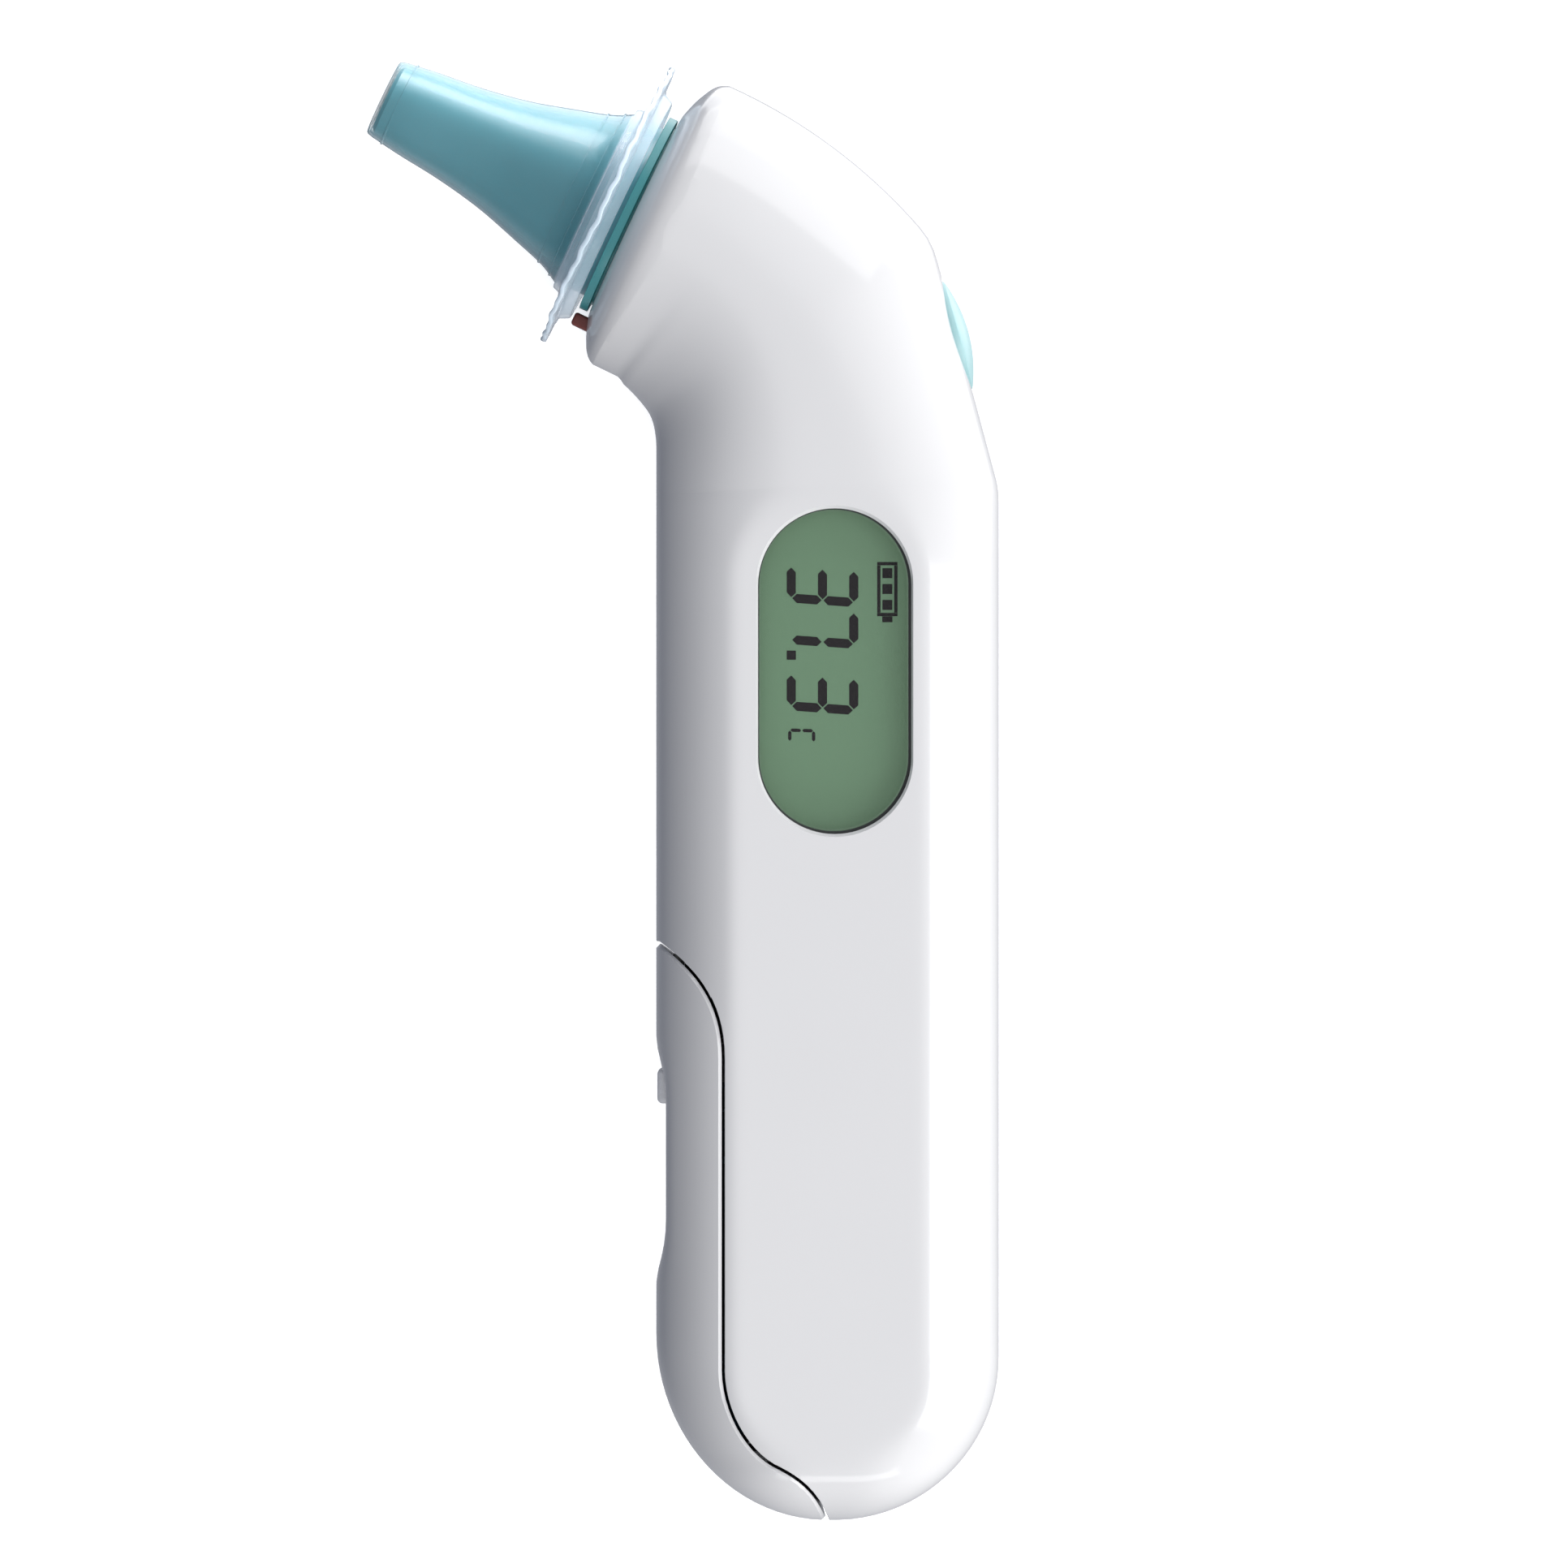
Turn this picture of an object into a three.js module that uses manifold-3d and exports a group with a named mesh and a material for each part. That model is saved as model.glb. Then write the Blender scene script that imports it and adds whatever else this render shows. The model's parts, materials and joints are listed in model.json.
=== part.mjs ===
// Digital ear thermometer, in millimetres.
// It lies on its side with the display up: +Y runs from the handle to the head, +Z leaves the display.
// The pieces are placed in handle coordinates: x across the handle, y up from its lower end and z from
// the mid-plane. One outer group moves them to the part's frame, whose origin is the middle of the base.
import * as THREE from "three";
import { mergeVertices } from "three/addons/utils/BufferGeometryUtils.js";
import Module from "manifold-3d";

const wasm = await Module();
wasm.setup();

const DEG = Math.PI / 180;
const GAP = 0.3;
const FAR = 140;

// Body form: a section swept along a straight spine and then round a bend.
const HALF_THICK = 16.5;
const HEAD_HALF_THICK = 16.05;
const SPINE_X = 0.35;
const FRONT_HALF = 18.19;
const BACK_HALF = 17.49;
const FRONT_CAP = 19.5;
const BACK_CAP = 17;
const END_CAP = 6.2;
const FACET_HALF = 10;
const FACET_END_ROUND = 9;
const ARCH_START = 97.6;
const ARCH_ROUND = 10;
const BEND_START = 105.8;
const BEND_RADIUS = 32.6;
const HEAD_TURN = 64.4;
const NECK_RADIUS = 16.65;
const BARREL_RADIUS = 16.5;
const NECK_END_TURN = 50.5;
const FLAT_TURN = 15;
const FLAT_RADIUS = 48.79;
const CROWN_RADIUS = 48.8;
const SQUARE_POWER = 3;
const ROUND_POWER = 2;
const WALL = 1.6;
const HALF_SEAM = 0.1;
const LIP_INNER_TURN = HEAD_TURN - 2.2;

// The head's rounded front, as [radius, height] from the rim. It is a little flatter in thickness.
const HEAD_FRONT = [
  [13.4, -0.65],
  [15.1, -1.5],
  [15.8, -2.1],
  [16.2, -2.9],
  [16.42, -3.9],
  [16.54, -5.2],
];
const HEAD_FLATTEN = 0.975;

// The battery door's edge: a straight seam with a notch above it and a hooked foot below.
const SEAM = { x: -10.95, high: 48.3, low: 16.2 };

// Thumb recess in the battery door.
const RECESS_DEPTH = 1.54;
const RECESS_LOW = [24.5, 31.5];
const RECESS_HIGH = [43.6, 50.5];
const RECESS_HALF_WIDTH = 12;
const INNER_RECESS_SHARE = 0.5;

// Probe frame: the axis leaves the head at its turn angle, a little below the head's own middle.
const AXIS_DROP = 0.385;
const RIM_SETBACK = 2;
const RING_BORE = 11.3;
const RING_RADIUS = 11;
const RING_INNER = 9.95;
const RING_FRONT = 1.1;
const RING_REAR = -9.5;
const NOSE_BASE = 9.6;
const NOSE_SOCKET = 8.2;
const NOSE_REAR = -13;
const FILTER_WALL = 0.25;
const FILTER_GAP = 0.15;
const PIN = { radius: 12.2, half: 0.7, halfWidth: 1.2, low: -7, high: 1.2, slotHalf: 1.6 };
const TIP = 29;
const NOSE_TIP = 28.45;
const NOSE_WALL = 1.3;
const COLLAR_SCREW_RADIUS = 10.4;

// Ears at the rear of the ejector ring, which carry its return springs.
const EAR = { inner: 10.5, outer: 13.6, half: 2, front: -8.5 };

// Display window and what lies under it.
const WINDOW = { x: 0.7, y: 88.3, width: 15.8, height: 33.6 };
const PANE = { top: HALF_THICK - 0.25, low: 14.3, gap: 0.25, footLow: 14.1, footHigh: 14.6 };
const LCD = { low: 11.2, high: 13.4, width: 17.4, y0: 69.6, y1: 107, frameWall: 1.2 };
const BOARD = { low: 5.5, high: 6.5, x0: -12.5, x1: 13, y0: 70.2, y1: 113.5 };

// Screws along Z, as [x, y].
const HOUSING_SCREWS = [
  [0.35, 66.7],
  [-1.2, 120.6],
];
const BOARD_SCREWS = [
  [-8, 72.6],
  [9.5, 111],
];

// Start button, on the sloped flat behind the head.
const START = { x: 13.55, y: 123.4, length: 12, width: 11, bulge: 1.2 };
const START_FLANGE = { reach: 0.8, low: -3.5, high: -2.9 };

// Battery bay: two cells side by side in a cradle, under a door held by a tongue.
const CELL = { x: -4.8, z: 7.2, radius: 6.95, low: 9.3, high: 59.8, nub: 1 };
const CRADLE = { low: 6.6, high: 63.2, back: 2.6, half: 13.6, wall: 1.4 };
const TONGUE = { half: 4, low: 53, rootHigh: 58, high: 62.5, outside: -15.9, inside: -14.9 };
const CONTACT = { bridgeLow: 8.4, plateLow: 60.5, thickness: 0.4, springHigh: 61.3 };

// Power button, at the upper end of the thumb recess.
const POWER = { y: 45.25, height: 3.6, width: 9, face: -17.7, rear: -14.7 };
const POWER_COLLAR = { thickness: 0.4, half: 2.4, halfWidth: 5.6 };
const POWER_BOARD = { x0: -12.1, x1: -11.3, y0: 36, y1: 57, half: 3.6 };

// Screws: shank and head radius, and the radius of the thread's hole.
const SCREW = { shank: 0.8, head: 2, thread: 0.9, slotHalf: 0.25, slotReach: 1.2 };

const smooth = (from, to, value) => {
  const t = Math.min(1, Math.max(0, (value - from) / (to - from)));
  return t * t * (3 - 2 * t);
};
const softMin = (a, b, reach) => {
  const h = Math.max(0, reach - Math.abs(a - b)) / reach;
  return Math.min(a, b) - (h * h * reach) / 4;
};
const quarter = (size, depth, inset, y) => {
  const t = Math.min(1, Math.max(0, (depth - y) / (depth - inset)));
  return (size - inset) * Math.sqrt(1 - t * t);
};

// ---------------------------------------------------------------- body form

// Distance from the bend's centre to the front and back outlines, at a turn angle in degrees.
function frontRadius(turn) {
  const straight = (BEND_RADIUS - FRONT_HALF) / Math.cos(turn * DEG);
  const neck = softMin(straight, NECK_RADIUS, 1.2);
  const barrel = BARREL_RADIUS / Math.cos((HEAD_TURN - turn) * DEG);
  const share = smooth(NECK_END_TURN - 2, NECK_END_TURN + 2, turn);
  return neck + (barrel - neck) * share;
}

function backRadius(turn) {
  const straight = (BEND_RADIUS + BACK_HALF) / Math.cos(turn * DEG);
  const flat = FLAT_RADIUS / Math.cos((turn - FLAT_TURN) * DEG);
  const left = HEAD_TURN - turn;
  const crown = CROWN_RADIUS + 0.0364 * left + 0.00112 * left * left;
  return softMin(softMin(straight, flat, 0.3), crown, 0.8);
}

// One section at a distance along the spine, with the skin moved inwards by an inset.
function section(along, inset) {
  const turn = Math.max(0, along - BEND_START) / BEND_RADIUS / DEG;
  const across = new THREE.Vector2(Math.cos(turn * DEG), Math.sin(turn * DEG));
  const bent = turn > 0;
  const bendCentre = new THREE.Vector2(SPINE_X - BEND_RADIUS, BEND_START);
  const middle = bent
    ? bendCentre.addScaledVector(across, BEND_RADIUS)
    : new THREE.Vector2(SPINE_X, along);
  const front = bent
    ? BEND_RADIUS - frontRadius(turn) - inset
    : quarter(FRONT_HALF, FRONT_CAP, inset, along);
  const back = bent
    ? backRadius(turn) - BEND_RADIUS - inset
    : quarter(BACK_HALF, BACK_CAP, inset, along);
  const lowFade = (FACET_END_ROUND + END_CAP - along) / FACET_END_ROUND;
  const highFade = (along - ARCH_START) / ARCH_ROUND;
  const fade = Math.min(1, Math.max(0, lowFade, highFade));
  const facet = FACET_HALF * Math.sqrt(1 - fade * fade);
  const share = facet / ((front + back) / 2 + inset);
  const archTop = ARCH_START + ARCH_ROUND;
  const headEnd = BEND_START + HEAD_TURN * DEG * BEND_RADIUS;
  const thin = (HALF_THICK - HEAD_HALF_THICK) * smooth(archTop, headEnd, along);
  const top = quarter(HALF_THICK, END_CAP, inset, along) - thin;
  const soften = smooth(BEND_START - 8, BEND_START + 28, along);
  const power = SQUARE_POWER + (ROUND_POWER - SQUARE_POWER) * soften;
  const crown = top / Math.pow(1 - Math.pow(share, power), 1 / power);
  return { along, middle, across, front, back, crown, power, share };
}

// How far the recess pushes the front skin in.
function recess(along, z) {
  const lengthwise = smooth(RECESS_LOW[0], RECESS_LOW[1], along) *
    (1 - smooth(RECESS_HIGH[0], RECESS_HIGH[1], along));
  const side = Math.max(0, 1 - (z / RECESS_HALF_WIDTH) ** 2);
  return RECESS_DEPTH * lengthwise * side * side;
}

// The closed outline of a section, as points in handle coordinates.
const OUTER_ARC_STEPS = 5;
const INNER_ARC_STEPS = 4;
const LEAST_SHARE = 0.06;
function sectionPoints(s, inset) {
  const share = Math.max(s.share, LEAST_SHARE);
  const edge = s.crown * Math.pow(1 - Math.pow(share, s.power), 1 / s.power);
  const depth = inset > 0 ? INNER_RECESS_SHARE : 1;
  const steps = inset > 0 ? INNER_ARC_STEPS : OUTER_ARC_STEPS;
  const points = [];
  for (const side of [-1, 1]) {
    const half = side < 0 ? s.front : s.back;
    const limit = Math.atan2(edge, share * half);
    for (let i = -steps; i <= steps; i++) {
      const angle = (limit * i * -side) / steps;
      const reach = Math.pow(
        Math.pow(Math.cos(angle) / half, s.power) +
          Math.pow(Math.abs(Math.sin(angle)) / s.crown, s.power),
        -1 / s.power,
      );
      const z = reach * Math.sin(angle) * -1;
      const push = side < 0 ? depth * recess(s.along, z) : 0;
      const u = side * reach * Math.cos(angle) + push;
      points.push(new THREE.Vector3(s.middle.x + u * s.across.x, s.middle.y + u * s.across.y, z));
    }
  }
  return points;
}

// A closed solid through rings of equal length, with a middle point at each end.
function loft(rings, first, last) {
  const size = rings[0].length;
  const positions = [...rings.flat(), first, last].flatMap((p) => [p.x, p.y, p.z]);
  const low = rings.length * size;
  const index = [];
  for (let i = 0; i < size; i++) {
    const j = (i + 1) % size;
    index.push(low, i, j);
    for (let k = 0; k + 1 < rings.length; k++) {
      const a = k * size;
      const b = a + size;
      index.push(a + i, b + i, b + j, a + i, b + j, a + j);
    }
    const end = (rings.length - 1) * size;
    index.push(low + 1, end + j, end + i);
  }
  const geometry = new THREE.BufferGeometry();
  geometry.setAttribute("position", new THREE.Float32BufferAttribute(positions, 3));
  geometry.setIndex(index);
  return geometry;
}

const CAP_STEPS = [0.35, 1.4, 3.4, END_CAP, 8.7, 12, 15.8, 19.5];
const RECESS_STEPS = [24.5, 28, 31.5, 43.6, 47, 50.5];
const ARCH_STEPS = [ARCH_START, 102, BEND_START];
const BEND_STEPS = 12;

function bodySolid(inset, endTurn, headExtra) {
  const alongs = CAP_STEPS.map((y) => y + inset * (1 - y / FRONT_CAP));
  alongs.push(...RECESS_STEPS, ...ARCH_STEPS);
  const bendLength = endTurn * DEG * BEND_RADIUS;
  for (let i = 1; i <= BEND_STEPS; i++) alongs.push(BEND_START + (bendLength * i) / BEND_STEPS);
  const rings = alongs.map((along) => sectionPoints(section(along, inset), inset));
  const end = section(BEND_START + bendLength, inset);
  const last = new THREE.Vector3(end.middle.x, end.middle.y, 0);
  if (headExtra) {
    const forward = new THREE.Vector3(-end.across.y, end.across.x, 0).multiplyScalar(headExtra);
    rings.push(rings.at(-1).map((p) => p.clone().add(forward)));
    last.add(forward);
  }
  return toSolid(loft(rings, new THREE.Vector3(SPINE_X, inset, 0), last));
}

// ---------------------------------------------------------------- solids

// A manifold solid from a three.js geometry, turned to face out.
function toSolid(geometry, matrix) {
  const source = geometry.index ? geometry.toNonIndexed() : geometry.clone();
  const plain = new THREE.BufferGeometry();
  plain.setAttribute("position", source.getAttribute("position"));
  if (matrix) plain.applyMatrix4(matrix);
  const merged = mergeVertices(plain, 1e-4);
  const triangles = [];
  for (let i = 0; i < merged.index.count; i += 3) {
    const [a, b, c] = merged.index.array.slice(i, i + 3);
    if (a !== b && b !== c && c !== a) triangles.push([a, b, c]);
  }
  const build = (list) =>
    new wasm.Manifold(
      new wasm.Mesh({
        numProp: 3,
        vertProperties: merged.attributes.position.array,
        triVerts: new Uint32Array(list.flat()),
      }),
    );
  const made = build(triangles);
  return made.volume() < 0 ? build(triangles.map(([a, b, c]) => [a, c, b])) : made;
}

function toGeometry(solid) {
  const mesh = solid.getMesh();
  const positions = new Float32Array(mesh.numVert * 3);
  for (let i = 0; i < mesh.numVert; i++) {
    const start = i * mesh.numProp;
    positions.set(mesh.vertProperties.subarray(start, start + 3), i * 3);
  }
  const geometry = new THREE.BufferGeometry();
  geometry.setAttribute("position", new THREE.BufferAttribute(positions, 3));
  geometry.setIndex(new THREE.BufferAttribute(mesh.triVerts, 1));
  geometry.computeVertexNormals();
  return geometry;
}

const place = (x, y, z, turn = 0) =>
  new THREE.Matrix4().makeRotationZ(turn).setPosition(x, y, z);

// A box between two corners.
function block(x0, y0, z0, x1, y1, z1, matrix) {
  const geometry = new THREE.BoxGeometry(x1 - x0, y1 - y0, z1 - z0);
  geometry.translate((x0 + x1) / 2, (y0 + y1) / 2, (z0 + z1) / 2);
  return toSolid(geometry, matrix);
}

// A solid of revolution about local Y from [radius, height] pairs.
function turned(profile, segments, matrix) {
  const points = profile.map(([r, a]) => new THREE.Vector2(r, a));
  return toSolid(new THREE.LatheGeometry(points, segments), matrix);
}

const rod = (radius, low, high, segments, matrix) =>
  turned([[0, low], [radius, low], [radius, high], [0, high]], segments, matrix);

const tube = (inner, outer, low, high, segments, matrix) =>
  turned([[inner, low], [outer, low], [outer, high], [inner, high], [inner, low]], segments, matrix);

// A rod along Z at a point.
function rodZ(x, y, radius, low, high, segments = 20) {
  const geometry = new THREE.CylinderGeometry(radius, radius, high - low, segments);
  geometry.rotateX(Math.PI / 2);
  geometry.translate(x, y, (low + high) / 2);
  return toSolid(geometry);
}

function stadium(width, height, steps) {
  const radius = width / 2;
  const rise = height / 2 - radius;
  const shape = new THREE.Shape();
  shape.absarc(0, rise, radius, 0, Math.PI, false);
  shape.absarc(0, -rise, radius, Math.PI, 2 * Math.PI, false);
  shape.closePath();
  return new THREE.Shape(shape.extractPoints(steps).shape);
}

function extruded(shape, low, high, matrix, steps = 8) {
  const geometry = new THREE.ExtrudeGeometry(shape, {
    depth: high - low,
    bevelEnabled: false,
    curveSegments: steps,
  });
  geometry.translate(0, 0, low);
  return toSolid(geometry, matrix);
}

// A section carried along a curve.
function swept(shape, curve, steps) {
  const settings = { extrudePath: curve, steps, bevelEnabled: false, curveSegments: 3 };
  return toSolid(new THREE.ExtrudeGeometry(shape, settings));
}

class Helix extends THREE.Curve {
  constructor(lowRadius, highRadius, low, high, turns) {
    super();
    Object.assign(this, { lowRadius, highRadius, low, high, turns });
  }
  getPoint(t, target = new THREE.Vector3()) {
    const angle = 2 * Math.PI * this.turns * t;
    const radius = this.lowRadius + (this.highRadius - this.lowRadius) * t;
    const height = this.low + (this.high - this.low) * t;
    return target.set(radius * Math.cos(angle), height, radius * Math.sin(angle));
  }
}

// A coil spring about local Y. With two radii it is conical.
function coil(lowRadius, highRadius, wire, low, high, turns) {
  const wireShape = new THREE.Shape().absarc(0, 0, wire / 2, 0, 2 * Math.PI, false);
  const path = new Helix(lowRadius, highRadius, low + wire / 2, high - wire / 2, turns);
  return swept(wireShape, path, turns * 10);
}

// ---------------------------------------------------------------- scene graph

const FINISHES = {
  shell_white: { color: 0xeeeff1, roughness: 0.18, metalness: 0 },
  button_white: { color: 0xe6e8ec, roughness: 0.3, metalness: 0 },
  start_aqua: { color: 0xafdee1, roughness: 0.4, metalness: 0 },
  ring_teal: { color: 0x3c878c, roughness: 0.4, metalness: 0 },
  nose_teal: { color: 0x4f9ba6, roughness: 0.35, metalness: 0 },
  filter_clear: { color: 0xb9cbdd, roughness: 0.12, metalness: 0 },
  window_clear: { color: 0xdfe8e0, roughness: 0.05, metalness: 0 },
  lens_dark: { color: 0x20262b, roughness: 0.1, metalness: 0 },
  pin_red: { color: 0x6e2d28, roughness: 0.4, metalness: 0 },
  lcd_green: { color: 0x688970, roughness: 0.2, metalness: 0 },
  holder_white: { color: 0xdadada, roughness: 0.5, metalness: 0 },
  board_green: { color: 0x1f5a3c, roughness: 0.5, metalness: 0 },
  chip_black: { color: 0x1b1b1d, roughness: 0.5, metalness: 0 },
  brass_gold: { color: 0xc9a45a, roughness: 0.25, metalness: 1 },
  nickel: { color: 0xb9bcc0, roughness: 0.3, metalness: 1 },
  alloy: { color: 0xa7aaae, roughness: 0.45, metalness: 1 },
  rubber_grey: { color: 0x56585c, roughness: 0.8, metalness: 0 },
  cradle_grey: { color: 0xc2c5c9, roughness: 0.55, metalness: 0 },
  cell_jacket: { color: 0x3f6f8a, roughness: 0.35, metalness: 0.3 },
  flex_amber: { color: 0xb0682a, roughness: 0.4, metalness: 0 },
};

const thermometer = new THREE.Group();
const handle = new THREE.Group();
handle.position.set(15.13, -76, HALF_THICK);
thermometer.add(handle);

const headEnd = section(BEND_START + HEAD_TURN * DEG * BEND_RADIUS, 0);
const headForward = new THREE.Vector2(-headEnd.across.y, headEnd.across.x);
const probeOrigin = headEnd.middle
  .clone()
  .addScaledVector(headEnd.across, -AXIS_DROP)
  .addScaledVector(headForward, RIM_SETBACK);
const headMatrix = place(
  probeOrigin.x + AXIS_DROP * headEnd.across.x,
  probeOrigin.y + AXIS_DROP * headEnd.across.y,
  0,
  HEAD_TURN * DEG,
);
const probeMatrix = place(probeOrigin.x, probeOrigin.y, 0, HEAD_TURN * DEG);

// Local +Y is the probe's axis, pointing out of the head.
const probe = new THREE.Group();
probe.applyMatrix4(probeMatrix);
handle.add(probe);

// Local +Y leaves the sloped flat through the middle of the start button.
const startMatrix = place(START.x, START.y, 0, (FLAT_TURN - 90) * DEG);
const startGroup = new THREE.Group();
startGroup.applyMatrix4(startMatrix);
handle.add(startGroup);

function add(name, solid, finish, parent = handle) {
  const mesh = new THREE.Mesh(toGeometry(solid), new THREE.MeshStandardMaterial(FINISHES[finish]));
  mesh.name = name;
  parent.add(mesh);
}

// ---------------------------------------------------------------- housing

// What the door covers, seen from the side: a notch at the front, a straight run and a hooked foot.
function doorRegion(grow) {
  const seam = SEAM.x + grow;
  const shape = new THREE.Shape();
  shape.moveTo(-30, 60.6 + grow);
  shape.lineTo(-17.4, 60 + grow);
  shape.bezierCurveTo(-14.2 + grow, 57.6 + grow, seam, 54.5 + grow, seam, SEAM.high);
  shape.lineTo(seam, SEAM.low);
  shape.bezierCurveTo(seam, 12 + grow / 2, -8.6 + grow, 7.8 + grow, -5.7 + grow / 2, 6.2 + grow);
  shape.bezierCurveTo(-3.2 + grow, 4.95 + grow, 0.3 + grow, 3.2 + grow / 2, 0.4 + grow, -4);
  shape.lineTo(-30, -4);
  shape.closePath();
  return extruded(shape, -30, 30, undefined, 7);
}

const headFlat = new THREE.Matrix4().makeScale(1, 1, HEAD_FLATTEN);
const headTool = turned(
  [[0, 0], [RING_BORE, 0], ...HEAD_FRONT, [FAR, HEAD_FRONT.at(-1)[1]], [FAR, -FAR], [0, -FAR]],
  36,
  headMatrix.clone().multiply(headFlat),
);
const outer = bodySolid(0, HEAD_TURN, RIM_SETBACK).intersect(headTool);

// The hollow stops a wall's thickness short of the head's end.
const cavity = bodySolid(WALL, LIP_INNER_TURN, 0);
const inner = bodySolid(WALL + GAP, LIP_INNER_TURN - 1, 0);

const pinSlot = block(-13.3, -8, -PIN.slotHalf, -10.5, 4, PIN.slotHalf, probeMatrix);
const ringBore = rod(RING_BORE, -10, 4, 36, probeMatrix);
// Ribs and bosses reach half way into the wall, and no further.
const core = bodySolid(WALL / 2, HEAD_TURN, 0);
const noseRib = tube(12.7, 22, -13, -12.3, 28, probeMatrix).intersect(core);

// The start button's oval hole.
const holeScale = new THREE.Matrix4().makeScale(START.length / 2 + GAP, 1, START.width / 2 + GAP);
const startHole = rod(1, -3.2, 3, 28, startMatrix.clone().multiply(holeScale));

const windowPlace = place(WINDOW.x, WINDOW.y, 0);
const windowHole = extruded(stadium(WINDOW.width, WINDOW.height, 9), 10, 20, windowPlace);

const bossUp = (x, y, radius, top) => rodZ(x, y, radius, -HALF_THICK, top).intersect(core);
const bossDown = (x, y, radius, low) => rodZ(x, y, radius, low, HALF_THICK).intersect(core);

let shell = outer.subtract(cavity).add(noseRib);
shell = shell.subtract(ringBore).subtract(pinSlot).subtract(startHole);
const housing = shell.subtract(doorRegion(GAP));

let displaySide = housing.subtract(block(-FAR, -FAR, -FAR, FAR, 2 * FAR, HALF_SEAM));
let rearSide = housing.subtract(block(-FAR, -FAR, -HALF_SEAM, FAR, 2 * FAR, FAR));
for (const [x, y] of HOUSING_SCREWS) {
  displaySide = displaySide.add(bossDown(x, y, 2.4, HALF_SEAM));
  displaySide = displaySide.subtract(rodZ(x, y, SCREW.thread, -1, 8));
  rearSide = rearSide.add(bossUp(x, y, 3.2, -HALF_SEAM));
  rearSide = rearSide.subtract(rodZ(x, y, 1.25, -20, 1)).subtract(rodZ(x, y, 2.3, -20, -4));
}
for (const [x, y] of BOARD_SCREWS) {
  rearSide = rearSide.add(bossUp(x, y, 2.2, BOARD.low - GAP));
  rearSide = rearSide.subtract(rodZ(x, y, SCREW.thread, -4, 8));
}
add("display_side_shell", displaySide.subtract(windowHole), "shell_white");
add("rear_side_shell", rearSide, "shell_white");

HOUSING_SCREWS.forEach(([x, y], i) => {
  const slot = (halfX, halfY) => block(x - halfX, y - halfY, -7, x + halfX, y + halfY, -5.5);
  const screw = rodZ(x, y, SCREW.head, -6.2, -4.1)
    .add(rodZ(x, y, SCREW.shank, -4.2, 6))
    .subtract(slot(SCREW.slotReach, SCREW.slotHalf))
    .subtract(slot(SCREW.slotHalf, SCREW.slotReach));
  add("housing_screw_" + (i + 1), screw, "nickel");
});

// ---------------------------------------------------------------- battery door and power button

const powerHole = block(-30, POWER.y - POWER.height / 2 - GAP, -POWER.width / 2 - GAP,
  -12, POWER.y + POWER.height / 2 + GAP, POWER.width / 2 + GAP);
const tonguePlate = (x0, high) =>
  block(x0, TONGUE.low, -TONGUE.half, TONGUE.inside, high, TONGUE.half);
const tongue = tonguePlate(-16.7, TONGUE.rootHigh).add(tonguePlate(TONGUE.outside, TONGUE.high));
const doorShell = shell.intersect(doorRegion(0)).add(tongue).subtract(powerHole);
add("battery_door", doorShell, "shell_white");

const powerFace = block(POWER.face, POWER.y - POWER.height / 2, -POWER.width / 2,
  POWER.rear, POWER.y + POWER.height / 2, POWER.width / 2);
const powerCollar = block(POWER.rear - POWER_COLLAR.thickness, POWER.y - POWER_COLLAR.half,
  -POWER_COLLAR.halfWidth, POWER.rear, POWER.y + POWER_COLLAR.half, POWER_COLLAR.halfWidth);
add("power_memory_button", powerFace.add(powerCollar), "button_white");

// ---------------------------------------------------------------- battery bay

// A back plate with an end wall at each end, and a ridge between the cells.
const cradlePlate = (x0, y0, x1, y1) => block(x0, y0, -CRADLE.half, x1, y1, CRADLE.half);
let cradle = cradlePlate(CRADLE.back, CRADLE.low, CRADLE.back + CRADLE.wall, CRADLE.high)
  .add(cradlePlate(-9.5, CRADLE.low, CRADLE.back + 1, CRADLE.low + 1.1))
  .add(cradlePlate(-11, CRADLE.high - CRADLE.wall, CRADLE.back + 1, CRADLE.high));
const ridgeShape = new THREE.Shape();
ridgeShape.moveTo(CRADLE.back + 0.2, -3.4);
ridgeShape.quadraticCurveTo(-1.4, -0.9, -2.4, 0);
ridgeShape.quadraticCurveTo(-1.4, 0.9, CRADLE.back + 0.2, 3.4);
ridgeShape.closePath();
const ridgeMatrix = new THREE.Matrix4().makeRotationX(-Math.PI / 2);
const ridge = extruded(ridgeShape, CELL.low, CELL.high, ridgeMatrix, 4);
const cellRoom = (side) =>
  rod(CELL.radius + GAP, CELL.low - 1, CELL.high + 1.6, 28, place(CELL.x, 0, side * CELL.z));
cradle = cradle.add(ridge).subtract(cellRoom(1)).subtract(cellRoom(-1)).intersect(inner);
add("battery_cradle", cradle, "cradle_grey");

// The two cells lie opposite ways round, with the nub at the upper end of the first.
const cellLength = CELL.high - CELL.low;
const shoulder = cellLength - CELL.nub;
const cellProfile = [
  [0, 0],
  [CELL.radius - 0.6, 0],
  [CELL.radius, 0.6],
  [CELL.radius, shoulder - 0.6],
  [CELL.radius - 0.6, shoulder],
  [2.75, shoulder],
  [2.6, cellLength],
  [0, cellLength],
];
const cellUpsideDown = cellProfile.map(([r, a]) => [r, cellLength - a]);
const cellAt = (side) => place(CELL.x, CELL.low, side * CELL.z);
add("battery_cell_1", turned(cellProfile, 24, cellAt(1)), "cell_jacket");
add("battery_cell_2", turned(cellUpsideDown, 24, cellAt(-1)), "cell_jacket");

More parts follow.
